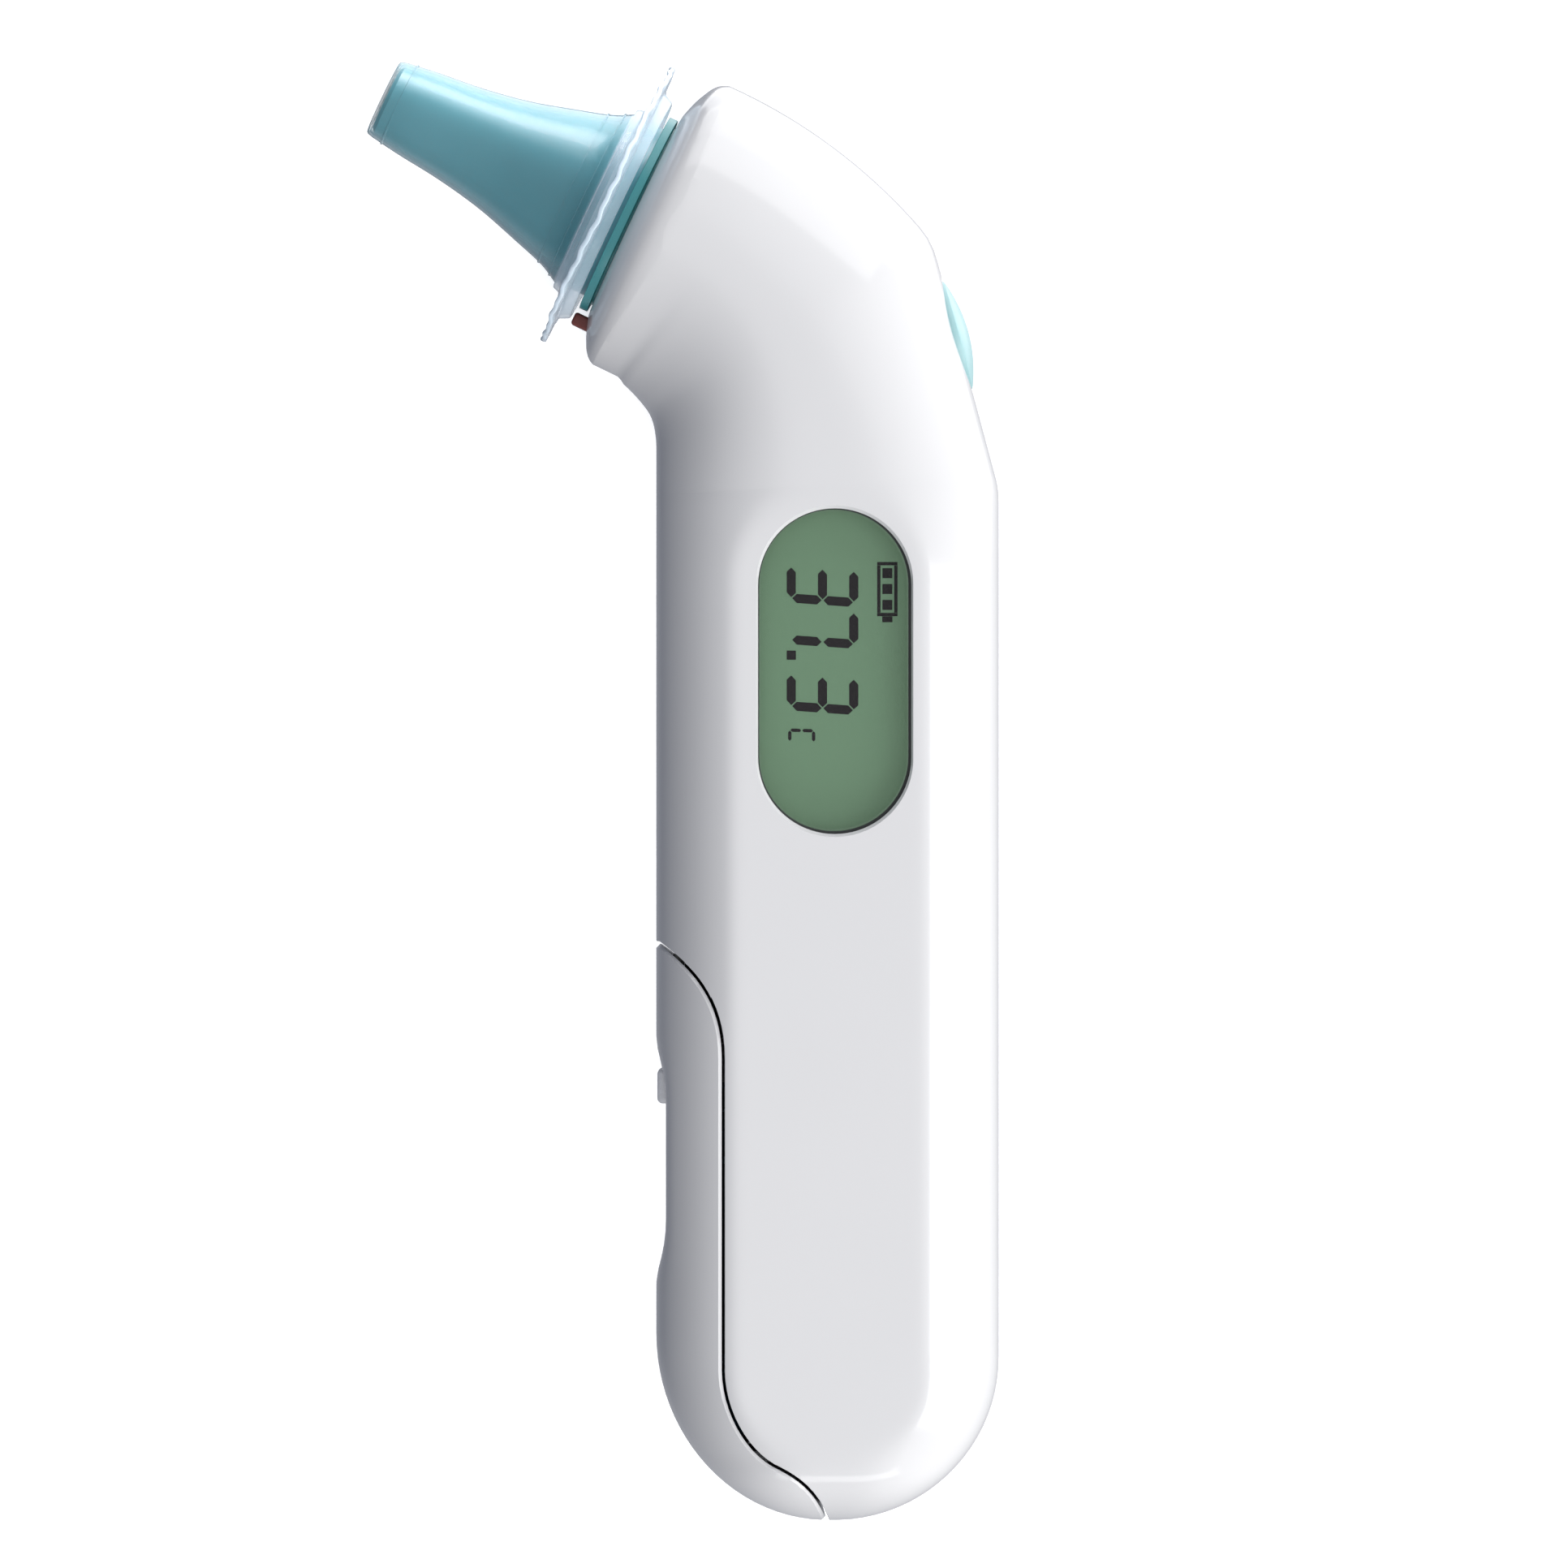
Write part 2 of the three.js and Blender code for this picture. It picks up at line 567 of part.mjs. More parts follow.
// Contacts: a bridge plate below, a spring and a flat plate above.
const contactPlate = (half, low, z0, z1) =>
  block(CELL.x - half, low, z0, CELL.x + half, low + CONTACT.thickness, z1);
const bridge = contactPlate(3.4, CONTACT.bridgeLow, -10.5, 10.5).intersect(inner);
add("bridge_contact", bridge, "nickel");
const plate = contactPlate(3.5, CONTACT.plateLow, CELL.z - 3.5, CELL.z + 3.5);
add("plate_contact", plate, "nickel");
const springMatrix = place(CELL.x, 0, -CELL.z);
const springContact = coil(1.4, 3.1, 0.5, CELL.high + 0.15, CONTACT.springHigh - 0.3, 2)
  .transform(springMatrix.elements)
  .add(rod(3.4, CONTACT.springHigh - 0.55, CONTACT.springHigh, 20, springMatrix));
add("spring_contact", springContact, "nickel");

// Power switch, on a narrow board that stands in the valley between the cells.
const switchBoard = block(POWER_BOARD.x0, POWER_BOARD.y0, -POWER_BOARD.half,
  POWER_BOARD.x1, POWER_BOARD.y1, POWER_BOARD.half);
add("power_switch_board", switchBoard, "board_green");
const switchBlock = (half, x0, x1) => block(x0, POWER.y - half, -half, x1, POWER.y + half, half);
const powerSwitch = switchBlock(3, POWER_BOARD.x0 - 1.5, POWER_BOARD.x0 - GAP)
  .add(switchBlock(1.2, POWER_BOARD.x0 - 1.85, POWER_BOARD.x0 - 1.4));
add("power_switch", powerSwitch, "chip_black");

// ---------------------------------------------------------------- display and main board

// The pane fills the hole, and its wider foot lies under the shell.
const paneShape = stadium(WINDOW.width - 2 * PANE.gap, WINDOW.height - 2 * PANE.gap, 9);
const footShape = stadium(WINDOW.width + 1.6, WINDOW.height + 3, 9);
const pane = extruded(paneShape, PANE.low, PANE.top, windowPlace)
  .add(extruded(footShape, PANE.footLow, PANE.footHigh, windowPlace));
add("display_window", pane, "window_clear");

const lcdX0 = WINDOW.x - LCD.width / 2;
const lcdX1 = WINDOW.x + LCD.width / 2;
add("lcd_glass", block(lcdX0, LCD.y0, LCD.low, lcdX1, LCD.y1, LCD.high), "lcd_green");

const frameLow = BOARD.high + GAP;
const frameHigh = LCD.low - GAP;
const frameY0 = LCD.y0 + 5.4;
const frameY1 = LCD.y1 - 3;
const frameHollow = block(lcdX0 + LCD.frameWall, frameY0 + LCD.frameWall, frameLow - 1,
  lcdX1 - LCD.frameWall, frameY1 - LCD.frameWall, frameHigh - 0.8);
const reflector = block(lcdX0, frameY0, frameLow, lcdX1, frameY1, frameHigh).subtract(frameHollow);
add("lcd_reflector", reflector, "holder_white");
const connector = block(lcdX0 + 1, LCD.y1 - 2.6, frameLow, lcdX1 - 6, LCD.y1 - 0.4, frameHigh);
add("lcd_connector_strip", connector, "rubber_grey");

let board = block(BOARD.x0, BOARD.y0, BOARD.low, BOARD.x1, BOARD.y1, BOARD.high);
for (const [x, y] of BOARD_SCREWS) board = board.subtract(rodZ(x, y, 1.2, 0, 10));
add("main_board", board, "board_green");
BOARD_SCREWS.forEach(([x, y], i) => {
  const screw = rodZ(x, y, 1.9, BOARD.high + 0.05, BOARD.high + 1.2)
    .add(rodZ(x, y, SCREW.shank, -2.5, BOARD.high + 0.3))
    .subtract(block(x - 1.1, y - 0.22, BOARD.high + 0.7, x + 1.1, y + 0.22, BOARD.high + 2));
  add("board_screw_" + (i + 1), screw, "nickel");
});
add("processor_chip", block(-6, 88, 3.8, 5, 99, BOARD.low - 0.05), "chip_black");
add("buzzer", rodZ(6, 78, 6, 1.2, BOARD.low - 0.05, 28), "chip_black");

// ---------------------------------------------------------------- start button

// Heights are measured outwards from the flat. The dome is a shallow cap on an oval plug.
const DOME_STEPS = 5;
const domeHalf = START.length / 2;
const domeProfile = [
  [0, -5],
  [1.6, -5],
  [1.6, START_FLANGE.low],
  [domeHalf + START_FLANGE.reach, START_FLANGE.low],
  [domeHalf + START_FLANGE.reach, START_FLANGE.high],
  [domeHalf, START_FLANGE.high],
];
for (let i = 0; i <= DOME_STEPS; i++) {
  const share = 1 - i / DOME_STEPS;
  domeProfile.push([domeHalf * share, START.bulge * (1 - share * share)]);
}
const ovalOnly = new THREE.Matrix4().makeScale(1, 1, START.width / START.length);
add("start_button", turned(domeProfile, 28, ovalOnly), "start_aqua", startGroup);
add("start_switch_plunger", rod(1.3, -7.2, -5.3, 16), "chip_black", startGroup);
const switchBody = block(-3, -9.8, -3, 3, -6.5, 3).subtract(rod(1.6, -8.8, -6, 16));
add("start_switch", switchBody, "chip_black", startGroup);
add("start_switch_board", block(-7, -11.1, -5, 7, -10.1, 5), "board_green", startGroup);
add("start_button_spring", coil(2.4, 2.4, 0.5, -6.35, -3.65, 3), "nickel", startGroup);

// ---------------------------------------------------------------- probe

// Outer radius of the lens filter's cone at a height ahead of the ring plane.
const CONE = [
  [9.8, 4.4],
  [8.65, 6.6],
  [7.6, 10],
  [6.2, 15],
  [5.3, 20],
  [4.75, 25],
  [4.3, 28.2],
];
const insideCone = CONE.map(([r, a]) => [r - FILTER_WALL, a]);
const filterProfile = [
  [0, TIP],
  [4.05, TIP],
  ...[...CONE].reverse(),
  [10.4, 4.3],
  [10.9, 3.5],
  [15.8, 3.25],
  [15.8, 2.85],
  [13, 2.7],
  [12.4, 1.5],
  [12, 1.5],
  [12.5, 2.5],
  [10.4, 3.1],
  [10, 3.9],
  ...insideCone,
  [3.9, TIP - 2 * FILTER_WALL],
  [0, TIP - FILTER_WALL],
];
add("lens_filter", turned(filterProfile, 32), "filter_clear", probe);

const shrink = FILTER_WALL + FILTER_GAP;
const noseOuter = CONE.map(([r, a]) => [r - shrink, Math.min(a, NOSE_TIP - 0.3)]);
const noseInner = CONE.map(([r, a]) => [r - shrink - NOSE_WALL, Math.min(a, NOSE_TIP)]).reverse();
noseInner[0] = [2.9, NOSE_TIP];
const noseProfile = [
  [NOSE_SOCKET, NOSE_REAR],
  [12.4, NOSE_REAR],
  [12.4, -12],
  [13.4, -12],
  [13.4, -11],
  [NOSE_BASE, -11],
  [NOSE_BASE, 3],
  ...noseOuter,
  [3.4, NOSE_TIP],
  ...noseInner,
  [7.9, 3],
  [NOSE_SOCKET, -2],
  [NOSE_SOCKET, NOSE_REAR],
];
const collarHole = (side, radius) =>
  rod(radius, -20, -8, 12, place(0, 0, side * COLLAR_SCREW_RADIUS));
const nose = turned(noseProfile, 28).subtract(collarHole(1, 0.85)).subtract(collarHole(-1, 0.85));
add("probe_nose", nose, "nose_teal", probe);
add("probe_window", rod(2.65, NOSE_TIP - 1.2, NOSE_TIP - 0.4, 24), "lens_dark", probe);
add("waveguide_tube", tube(1.7, 2.2, 2.6, NOSE_TIP - 1.5, 24), "brass_gold", probe);
add("thermopile_sensor", rod(4.1, -2.4, 2.2, 24).add(rod(4.7, -2.9, -2.3, 24)), "nickel", probe);
const holderProfile = [
  [2.5, 10.5],
  [2.5, 2.9],
  [4.5, 2.4],
  [4.5, -2.1],
  [5.1, -2.2],
  [5.1, -6.8],
  [7.6, -6.8],
  [7.6, 1],
  [6.6, 4],
  [4.8, 10.5],
  [2.5, 10.5],
];
add("sensor_holder", turned(holderProfile, 24), "alloy", probe);
add("sensor_board", rod(7.4, -8.4, -7.2, 28), "board_green", probe);

const collar = tube(7.6, 13.3, -14.9, -13.35, 32)
  .subtract(collarHole(1, 1.15))
  .subtract(collarHole(-1, 1.15));
add("probe_collar", collar, "holder_white", probe);
for (const [number, side] of [
  [1, 1],
  [2, -1],
]) {
  const at = place(0, 0, side * COLLAR_SCREW_RADIUS);
  const screw = rod(0.8, -15.1, -11.4, 14, at).add(rod(1.9, -16.2, -15, 14, at));
  add("collar_screw_" + number, screw, "nickel", probe);
}

// The ejector ring slides on the nose's base.
const ringProfile = [
  [RING_INNER, RING_REAR],
  [RING_RADIUS, RING_REAR],
  [RING_RADIUS, 0.8],
  [10.7, RING_FRONT],
  [RING_INNER, RING_FRONT],
  [RING_INNER, RING_REAR],
];
const ring = turned(ringProfile, 36)
  .add(block(-EAR.half, RING_REAR, EAR.inner, EAR.half, EAR.front, EAR.outer))
  .add(block(-EAR.half, RING_REAR, -EAR.outer, EAR.half, EAR.front, -EAR.inner));
add("ejector_ring", ring, "ring_teal", probe);

const earMiddle = (EAR.inner + EAR.outer) / 2 + 0.3;
const returnSpring = coil(0.8, 0.8, 0.35, EAR.front + 0.1, -4.1, 4);
const springAt = (z) => returnSpring.transform(place(0, 0, z).elements);
add("ejector_spring_1", springAt(earMiddle), "nickel", probe);
add("ejector_spring_2", springAt(-earMiddle), "nickel", probe);

// The detector pin stands beside the ring on the head's underside, over its switch.
const pinStem = block(-PIN.radius - PIN.half, PIN.low, -PIN.halfWidth,
  -PIN.radius + PIN.half, PIN.high, PIN.halfWidth);
const pinStop = block(-13.2, -5.8, -2.4, -PIN.radius + PIN.half, -4.8, 2.4);
const pin = pinStem.add(pinStop);
add("filter_detector_pin", pin, "pin_red", probe);
add("detector_switch", block(-13.3, -10.6, -2.6, -11.4, -8.5, 2.6), "chip_black", probe);

// Flexible strip from the sensor board to the main board.
const stripCurve = new THREE.CatmullRomCurve3([
  new THREE.Vector3(0, -8.95, 0),
  new THREE.Vector3(0.3, -12, 0),
  new THREE.Vector3(-2.5, -16.5, 0.5),
  new THREE.Vector3(-10.5, -19, 2.5),
  new THREE.Vector3(-14, -22, 4),
]);
const stripShape = new THREE.Shape();
stripShape.moveTo(-0.15, -2.5);
stripShape.lineTo(0.15, -2.5);
stripShape.lineTo(0.15, 2.5);
stripShape.lineTo(-0.15, 2.5);
stripShape.closePath();
add("sensor_flex", swept(stripShape, stripCurve, 16), "flex_amber", probe);

export default thermometer;
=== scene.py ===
"""Looks of the digital ear thermometer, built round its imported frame.

Shapes are made in millimetres in handle coordinates: x across the handle, y up from its lower end and
z from the mid-plane, towards the display. HANDLE carries them into the frame, which is in metres.
"""

import json
import math

import bmesh
import bpy
from mathutils import Matrix, Vector


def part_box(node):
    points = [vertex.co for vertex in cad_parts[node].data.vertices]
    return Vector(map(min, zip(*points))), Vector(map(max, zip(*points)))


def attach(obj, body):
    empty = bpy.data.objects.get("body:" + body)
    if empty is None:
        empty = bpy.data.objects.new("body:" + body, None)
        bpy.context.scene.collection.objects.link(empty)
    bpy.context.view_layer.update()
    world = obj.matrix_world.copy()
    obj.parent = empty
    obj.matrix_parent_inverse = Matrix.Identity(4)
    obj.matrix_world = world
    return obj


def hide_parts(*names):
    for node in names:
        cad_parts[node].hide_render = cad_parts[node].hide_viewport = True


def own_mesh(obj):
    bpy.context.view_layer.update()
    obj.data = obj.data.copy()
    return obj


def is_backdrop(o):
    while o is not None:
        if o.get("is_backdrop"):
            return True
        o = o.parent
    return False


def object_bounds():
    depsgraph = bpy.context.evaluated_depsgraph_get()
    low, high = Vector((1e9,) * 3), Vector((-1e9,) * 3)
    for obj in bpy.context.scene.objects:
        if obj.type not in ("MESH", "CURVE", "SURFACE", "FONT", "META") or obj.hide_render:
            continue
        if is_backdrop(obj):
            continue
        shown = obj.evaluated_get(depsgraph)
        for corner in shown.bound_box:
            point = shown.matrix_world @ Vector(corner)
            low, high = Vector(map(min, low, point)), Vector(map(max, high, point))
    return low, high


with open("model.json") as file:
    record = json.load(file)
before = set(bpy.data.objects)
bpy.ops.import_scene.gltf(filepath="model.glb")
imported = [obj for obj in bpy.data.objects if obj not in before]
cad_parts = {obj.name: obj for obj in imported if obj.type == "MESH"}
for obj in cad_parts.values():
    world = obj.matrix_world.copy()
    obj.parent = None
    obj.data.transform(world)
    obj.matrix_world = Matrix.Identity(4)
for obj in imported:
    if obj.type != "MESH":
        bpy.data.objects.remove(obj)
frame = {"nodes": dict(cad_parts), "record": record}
CAD_LOW, CAD_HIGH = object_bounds()

# ---- driving dimensions

MM = 0.001
GAP = 0.3
HALF_THICK = 16.5
HEAD_HALF_THICK = 16.05
SPINE_X = 0.35
FRONT_HALF = 18.19
BACK_HALF = 17.49
FRONT_CAP = 19.5
BACK_CAP = 17.0
END_CAP = 6.2
FACET_HALF = 10.0
FACET_END_ROUND = 9.0
ARCH_START = 97.6
ARCH_ROUND = 10.0
BEND_START = 105.8
BEND_RADIUS = 32.6
HEAD_TURN = 64.4
NECK_RADIUS = 16.65
BARREL_RADIUS = 16.5
NECK_END_TURN = 50.5
FLAT_TURN = 15.0
FLAT_RADIUS = 48.79
CROWN_RADIUS = 48.8
CROWN_RISE = 0.0364
CROWN_CURVE = 0.00112
SQUARE_POWER = 3.0
ROUND_POWER = 2.0
SQUARE_TO_ROUND = (BEND_START - 8, BEND_START + 28)
CREASE_SOFTNESS = 0.3
NECK_SOFTNESS = 1.2
NECK_BLEND = 2.0
FLAT_SOFTNESS = 0.3
CROWN_SOFTNESS = 0.8
CAP_LENGTH = 22
ARCH_LENGTH = 13
STRAIGHT_STRIDE = 1.5
WALL = 1.6
HALF_SEAM = 0.1
FAR = 200.0
PAST_SKIN = 30.0
SHARP_DEGREES = 32.0

HEAD_FRONT = [(13.4, -0.65), (15.1, -1.5), (15.8, -2.1), (16.2, -2.9), (16.42, -3.9), (16.54, -5.2)]
HEAD_FLATTEN = 0.975
HEAD_RIM_ROUND = 0.7
SEAM = {"x": -10.95, "high": 48.3, "low": 16.2, "ease": 0.4}

RECESS_DEPTH = 1.54
RECESS_LOW = (24.5, 31.5)
RECESS_HIGH = (43.6, 50.5)
RECESS_HALF_WIDTH = 12.0
INNER_RECESS_SHARE = 0.5

AXIS_DROP = 0.385
RIM_SETBACK = 2.0
RING_BORE = 11.3
RING_RADIUS = 11.0
RING_INNER = 9.95
RING_FRONT = 1.1
RING_REAR = -9.5
FILTER_WALL = 0.25
FILTER_GAP = 0.15
RING_GROOVE = {"depth": 0.85, "low": -0.4, "high": 0.2}
FLANGE_HEIGHT = 3.0
FLANGE_WAVES = ((0.1, 5, 0.4), (0.07, 19, 0), (0.07, 41, 0))
RIDGES = (27.1, 7.0, 5.4)
PIN = {"radius": 12.2, "half": 0.7, "half_width": 1.2, "low": -7, "high": 1.2}
PIN_SLOT = ((-13.3, -8, -1.6), (-10.5, 4, 1.6))
TIP = 29.0
NOSE_TIP = TIP - FILTER_WALL - FILTER_GAP
NOSE_WALL = 1.3
EAR = {"inner": 10.5, "outer": 13.6, "half": 2.0, "front": -8.5}
CONE = [(9.8, 4.4), (8.65, 6.6), (7.6, 10), (6.2, 15), (5.3, 20), (4.75, 25), (4.3, 28.2)]

WINDOW = {"x": 0.7, "y": 88.3, "width": 15.8, "height": 33.6}
PANE = {"top": HALF_THICK - 0.25, "low": 14.3, "foot_low": 14.1, "foot_high": 14.6, "gap": 0.42}
HOUSING_SCREWS = [(0.35, 66.7), (-1.2, 120.6)]
# Radius, low and high of a screw's rods in each half: its boss, then the holes in it.
REAR_BOSS = ((3.2, -15.6, -HALF_SEAM), (2.3, -20, -4), (1.25, -20, 1))
DISPLAY_BOSS = ((2.4, HALF_SEAM, 15.6), (0.9, -1, 8))
START = {"x": 13.55, "y": 123.4, "length": 12.0, "width": 11.0, "bulge": 1.2}
START_HOLE = {"low": -3.2, "high": 3}
START_LEAD_IN = {"low": -0.35, "high": 0.15, "top_grow": 0.5}
START_SPRING = {"radius": 2.4, "wire": 0.5, "turns": 3, "low": -6.35, "high": -3.65, "travel": 0.95}
RING_SPRING = {"radius": 0.8, "wire": 0.35, "turns": 4, "low": -8.4, "high": -4.1, "travel": 2.55}
CELL = {"x": -4.8, "z": 7.2, "radius": 6.95, "low": 9.3, "high": 59.8, "nub": 1.0}
POWER = {"y": 45.25, "height": 3.6, "width": 9.0, "face": -17.7, "rear": -14.7}
POWER_COLLAR = {"height": 4.8, "width": 11.2, "thickness": 0.4}
TONGUE = {"half": 4.0, "low": 53, "inside": -14.9}
TONGUE_STEPS = ((-16.7, 58), (-15.9, 62.5))


def turned_at(x, y, degrees):
    """A frame at a point of the mid-plane, turned about Z."""
    return Matrix.Translation((x, y, 0)) @ Matrix.Rotation(math.radians(degrees), 4, "Z")


rear_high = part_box("rear_side_shell")[1]
HANDLE_ORIGIN = Vector(
    (rear_high.x - (SPINE_X + BACK_HALF) * MM, CAD_LOW.y, (CAD_LOW.z + CAD_HIGH.z) / 2)
)
HANDLE = Matrix.Translation(HANDLE_ORIGIN) @ Matrix.Scale(MM, 4)

# ---- body form


def clamp(value):
    return min(1.0, max(0.0, value))


def smooth(low, high, value):
    t = clamp((value - low) / (high - low))
    return t * t * (3 - 2 * t)


def soft_min(a, b, reach):
    h = max(0.0, reach - abs(a - b)) / reach
    return min(a, b) - h * h * reach / 4


def steps_to(start, end, count):
    """Evenly spaced numbers after the start, up to the end."""
    return [start + (end - start) * (i + 1) / count for i in range(count)]


def quarter(size, depth, inset, y):
    """An ellipse's quarter that rounds an end off."""
    t = clamp((depth - y) / (depth - inset))
    return (size - inset) * math.sqrt(1 - t * t)


def front_radius(turn):
    """Distance from the bend's centre to the front outline, at a turn angle in degrees."""
    straight = (BEND_RADIUS - FRONT_HALF) / math.cos(math.radians(turn))
    neck = soft_min(straight, NECK_RADIUS, NECK_SOFTNESS)
    barrel = BARREL_RADIUS / math.cos(math.radians(HEAD_TURN - turn))
    return neck + (barrel - neck) * smooth(NECK_END_TURN - NECK_BLEND, NECK_END_TURN + NECK_BLEND, turn)


def back_radius(turn):
    """The same for the back outline: the handle, then the button's sloped flat, then the head's crown."""
    straight = (BEND_RADIUS + BACK_HALF) / math.cos(math.radians(turn))
    flat = FLAT_RADIUS / math.cos(math.radians(turn - FLAT_TURN))
    left = HEAD_TURN - turn
    crown = CROWN_RADIUS + CROWN_RISE * left + CROWN_CURVE * left * left
    return soft_min(soft_min(straight, flat, FLAT_SOFTNESS), crown, CROWN_SOFTNESS)


HEAD_END = BEND_START + math.radians(HEAD_TURN) * BEND_RADIUS


class Section:
    """The body's cross-section at a distance along its spine, with the skin moved in by an inset."""

    def __init__(self, along, inset):
        turn = math.degrees(max(0.0, along - BEND_START) / BEND_RADIUS)
        self.along = along
        self.inset = inset
        self.across = Vector((math.cos(math.radians(turn)), math.sin(math.radians(turn)), 0))
        if turn > 0:
            centre = Vector((SPINE_X - BEND_RADIUS, BEND_START, 0))
            self.middle = centre + self.across * BEND_RADIUS
            self.front = BEND_RADIUS - front_radius(turn) - inset
            self.back = back_radius(turn) - BEND_RADIUS - inset
        else:
            self.middle = Vector((SPINE_X, along, 0))
            self.front = quarter(FRONT_HALF, FRONT_CAP, inset, along)
            self.back = quarter(BACK_HALF, BACK_CAP, inset, along)
        low_fade = (FACET_END_ROUND + END_CAP - along) / FACET_END_ROUND
        high_fade = (along - ARCH_START) / ARCH_ROUND
        fade = clamp(max(low_fade, high_fade))
        facet = FACET_HALF * math.sqrt(1 - fade * fade)
        share = facet / ((self.front + self.back) / 2 + inset)
        thin = (HALF_THICK - HEAD_HALF_THICK) * smooth(ARCH_START + ARCH_ROUND, HEAD_END, along)
        self.top = quarter(HALF_THICK, END_CAP, inset, along) - thin
        soften = smooth(*SQUARE_TO_ROUND, along)
        self.power = SQUARE_POWER + (ROUND_POWER - SQUARE_POWER) * soften
        self.crown = self.top / (1 - share**self.power) ** (1 / self.power)

    def point(self, angle):
        """A point of the outline. Angle 0 is the back and a half turn is the front."""
        cos, sin = math.cos(angle), math.sin(angle)
        half = self.back if cos > 0 else self.front
        size = (abs(cos) / half) ** self.power + (abs(sin) / self.crown) ** self.power
        reach = size ** (-1 / self.power)
        height = soft_min(reach * abs(sin), self.top, CREASE_SOFTNESS)
        z = math.copysign(height, sin)
        push = 0.0
        if cos < 0:
            push = recess(self.along, z) * (INNER_RECESS_SHARE if self.inset > 0 else 1)
        return self.middle + self.across * (reach * cos + push) + Vector((0, 0, z))


def recess(along, z):
    """How far the thumb recess pushes the front skin in."""
    lengthwise = smooth(*RECESS_LOW, along) * (1 - smooth(*RECESS_HIGH, along))
    side = max(0.0, 1 - (z / RECESS_HALF_WIDTH) ** 2)
    return RECESS_DEPTH * lengthwise * side * side


def stations(inset, spacing):
    """Distances along the spine: close together where an end or a crease turns, even elsewhere."""
    cap = steps_to(0, math.pi / 2, round(CAP_LENGTH / spacing))
    found = [inset + (FRONT_CAP - inset) * (1 - math.cos(t)) for t in cap]
    straight = (ARCH_START - FRONT_CAP) / (STRAIGHT_STRIDE * spacing)
    found += steps_to(FRONT_CAP, ARCH_START, round(straight))
    arch = steps_to(0, math.pi / 2, round(ARCH_LENGTH / spacing))
    return found + [ARCH_START + ARCH_ROUND * math.sin(t) for t in arch]


def body_form(name, inset, end_turn, around, spacing, extra=0.0):
    """The whole body as one closed skin, ending square to the spine at a turn angle, or an extra past it."""
    end = BEND_START + math.radians(end_turn) * BEND_RADIUS
    alongs = stations(inset, spacing)
    alongs += steps_to(alongs[-1], end, round((end - alongs[-1]) / spacing))
    angles = [2 * math.pi * (k + 0.5) / around for k in range(around)]
    sections = [Section(along, inset) for along in alongs]
    rings = [[section.point(angle) for angle in angles] for section in sections]
    last = sections[-1]
    tip = last.middle.copy()
    if extra:
        forward = Vector((-last.across.y, last.across.x, 0)) * extra
        rings.append([p + forward for p in rings[-1]])
        tip += forward
    return loft(name, rings, Vector((SPINE_X, inset, 0)), tip)


# ---- frames of the probe and the start button

head_section = Section(HEAD_END, 0)
head_forward = Vector((-head_section.across.y, head_section.across.x, 0))
head_point = head_section.middle + head_forward * RIM_SETBACK
probe_point = head_point - head_section.across * AXIS_DROP
HEAD = turned_at(head_point.x, head_point.y, HEAD_TURN)
PROBE = turned_at(probe_point.x, probe_point.y, HEAD_TURN)
START_FRAME = turned_at(START["x"], START["y"], FLAT_TURN - 90)

# ---- making meshes


def linked(name, data):
    """A new object in the scene."""
    made = bpy.data.objects.new(name, data)
    bpy.context.scene.collection.objects.link(made)
    return made


def new_object(name, verts, faces):
    mesh = bpy.data.meshes.new(name)
    mesh.from_pydata([tuple(v) for v in verts], [], faces)
    return face_out(linked(name, mesh))


def edit(target, change):
    """Runs a change on the object's mesh as a bmesh."""
    work = bmesh.new()
    work.from_mesh(target.data)
    change(work)
    work.to_mesh(target.data)
    work.free()
    return target


def face_out(target):
    return edit(target, lambda work: bmesh.ops.recalc_face_normals(work, faces=work.faces))


def bridge(rings):
    """Faces from each ring of vertex numbers to the next. A ring that is one point gets triangles."""
    faces = []
    for low, high in zip(rings, rings[1:]):
        for k in range(len(low)):
            j = (k + 1) % len(low)
            face = tuple(dict.fromkeys((low[k], low[j], high[j], high[k])))
            if len(face) > 2:
                faces.append(face)
    return faces


def loft(name, rings, first, last):
    """A closed solid through rings of equal length, with a middle point at each end."""
    size = len(rings[0])
    verts = [p for ring in rings for p in ring] + [first, last]
    numbers = [range(k * size, (k + 1) * size) for k in range(len(rings))]
    ends = [[len(verts) - 2] * size, [len(verts) - 1] * size]
    return new_object(name, verts, bridge([ends[0], *numbers, ends[1]]))


def rounded(points, radius, closed=False, steps=4):
    """The same outline with each corner rounded off. The two ends of an open one stay as they are."""
    made = []
    for i, here in enumerate(points):
        here = Vector(here)
        if not closed and i in (0, len(points) - 1):
            made.append(here)
            continue
        back = Vector(points[i - 1]) - here
        ahead = Vector(points[(i + 1) % len(points)]) - here
        cut = min(radius, back.length * 0.45, ahead.length * 0.45)
        start = here + back.normalized() * cut
        end = here + ahead.normalized() * cut
        for k in range(steps + 1):
            t = k / steps
            made.append(start * (1 - t) ** 2 + here * (2 * t * (1 - t)) + end * t**2)
    return made


def bezier(start, pull_start, pull_end, end, steps):
    """Points of a cubic curve, without its first."""
    start, pull_start, pull_end, end = map(Vector, (start, pull_start, pull_end, end))
    made = []
    for k in range(1, steps + 1):
        t = k / steps
        s = 1 - t
        made.append(start * s**3 + pull_start * (3 * s * s * t) + pull_end * (3 * s * t * t) + end * t**3)
    return made


def spline(points, steps=6):
    """A smooth curve through points, with that many steps from each to the next."""
    points = [Vector(p) for p in points]
    padded = [points[0] * 2 - points[1], *points, points[-1] * 2 - points[-2]]
    made = [points[0]]
    for a, b, c, d in zip(padded, padded[1:], padded[2:], padded[3:]):
        made += bezier(b, b + (c - a) / 6, c - (d - b) / 6, c, steps)
    return made


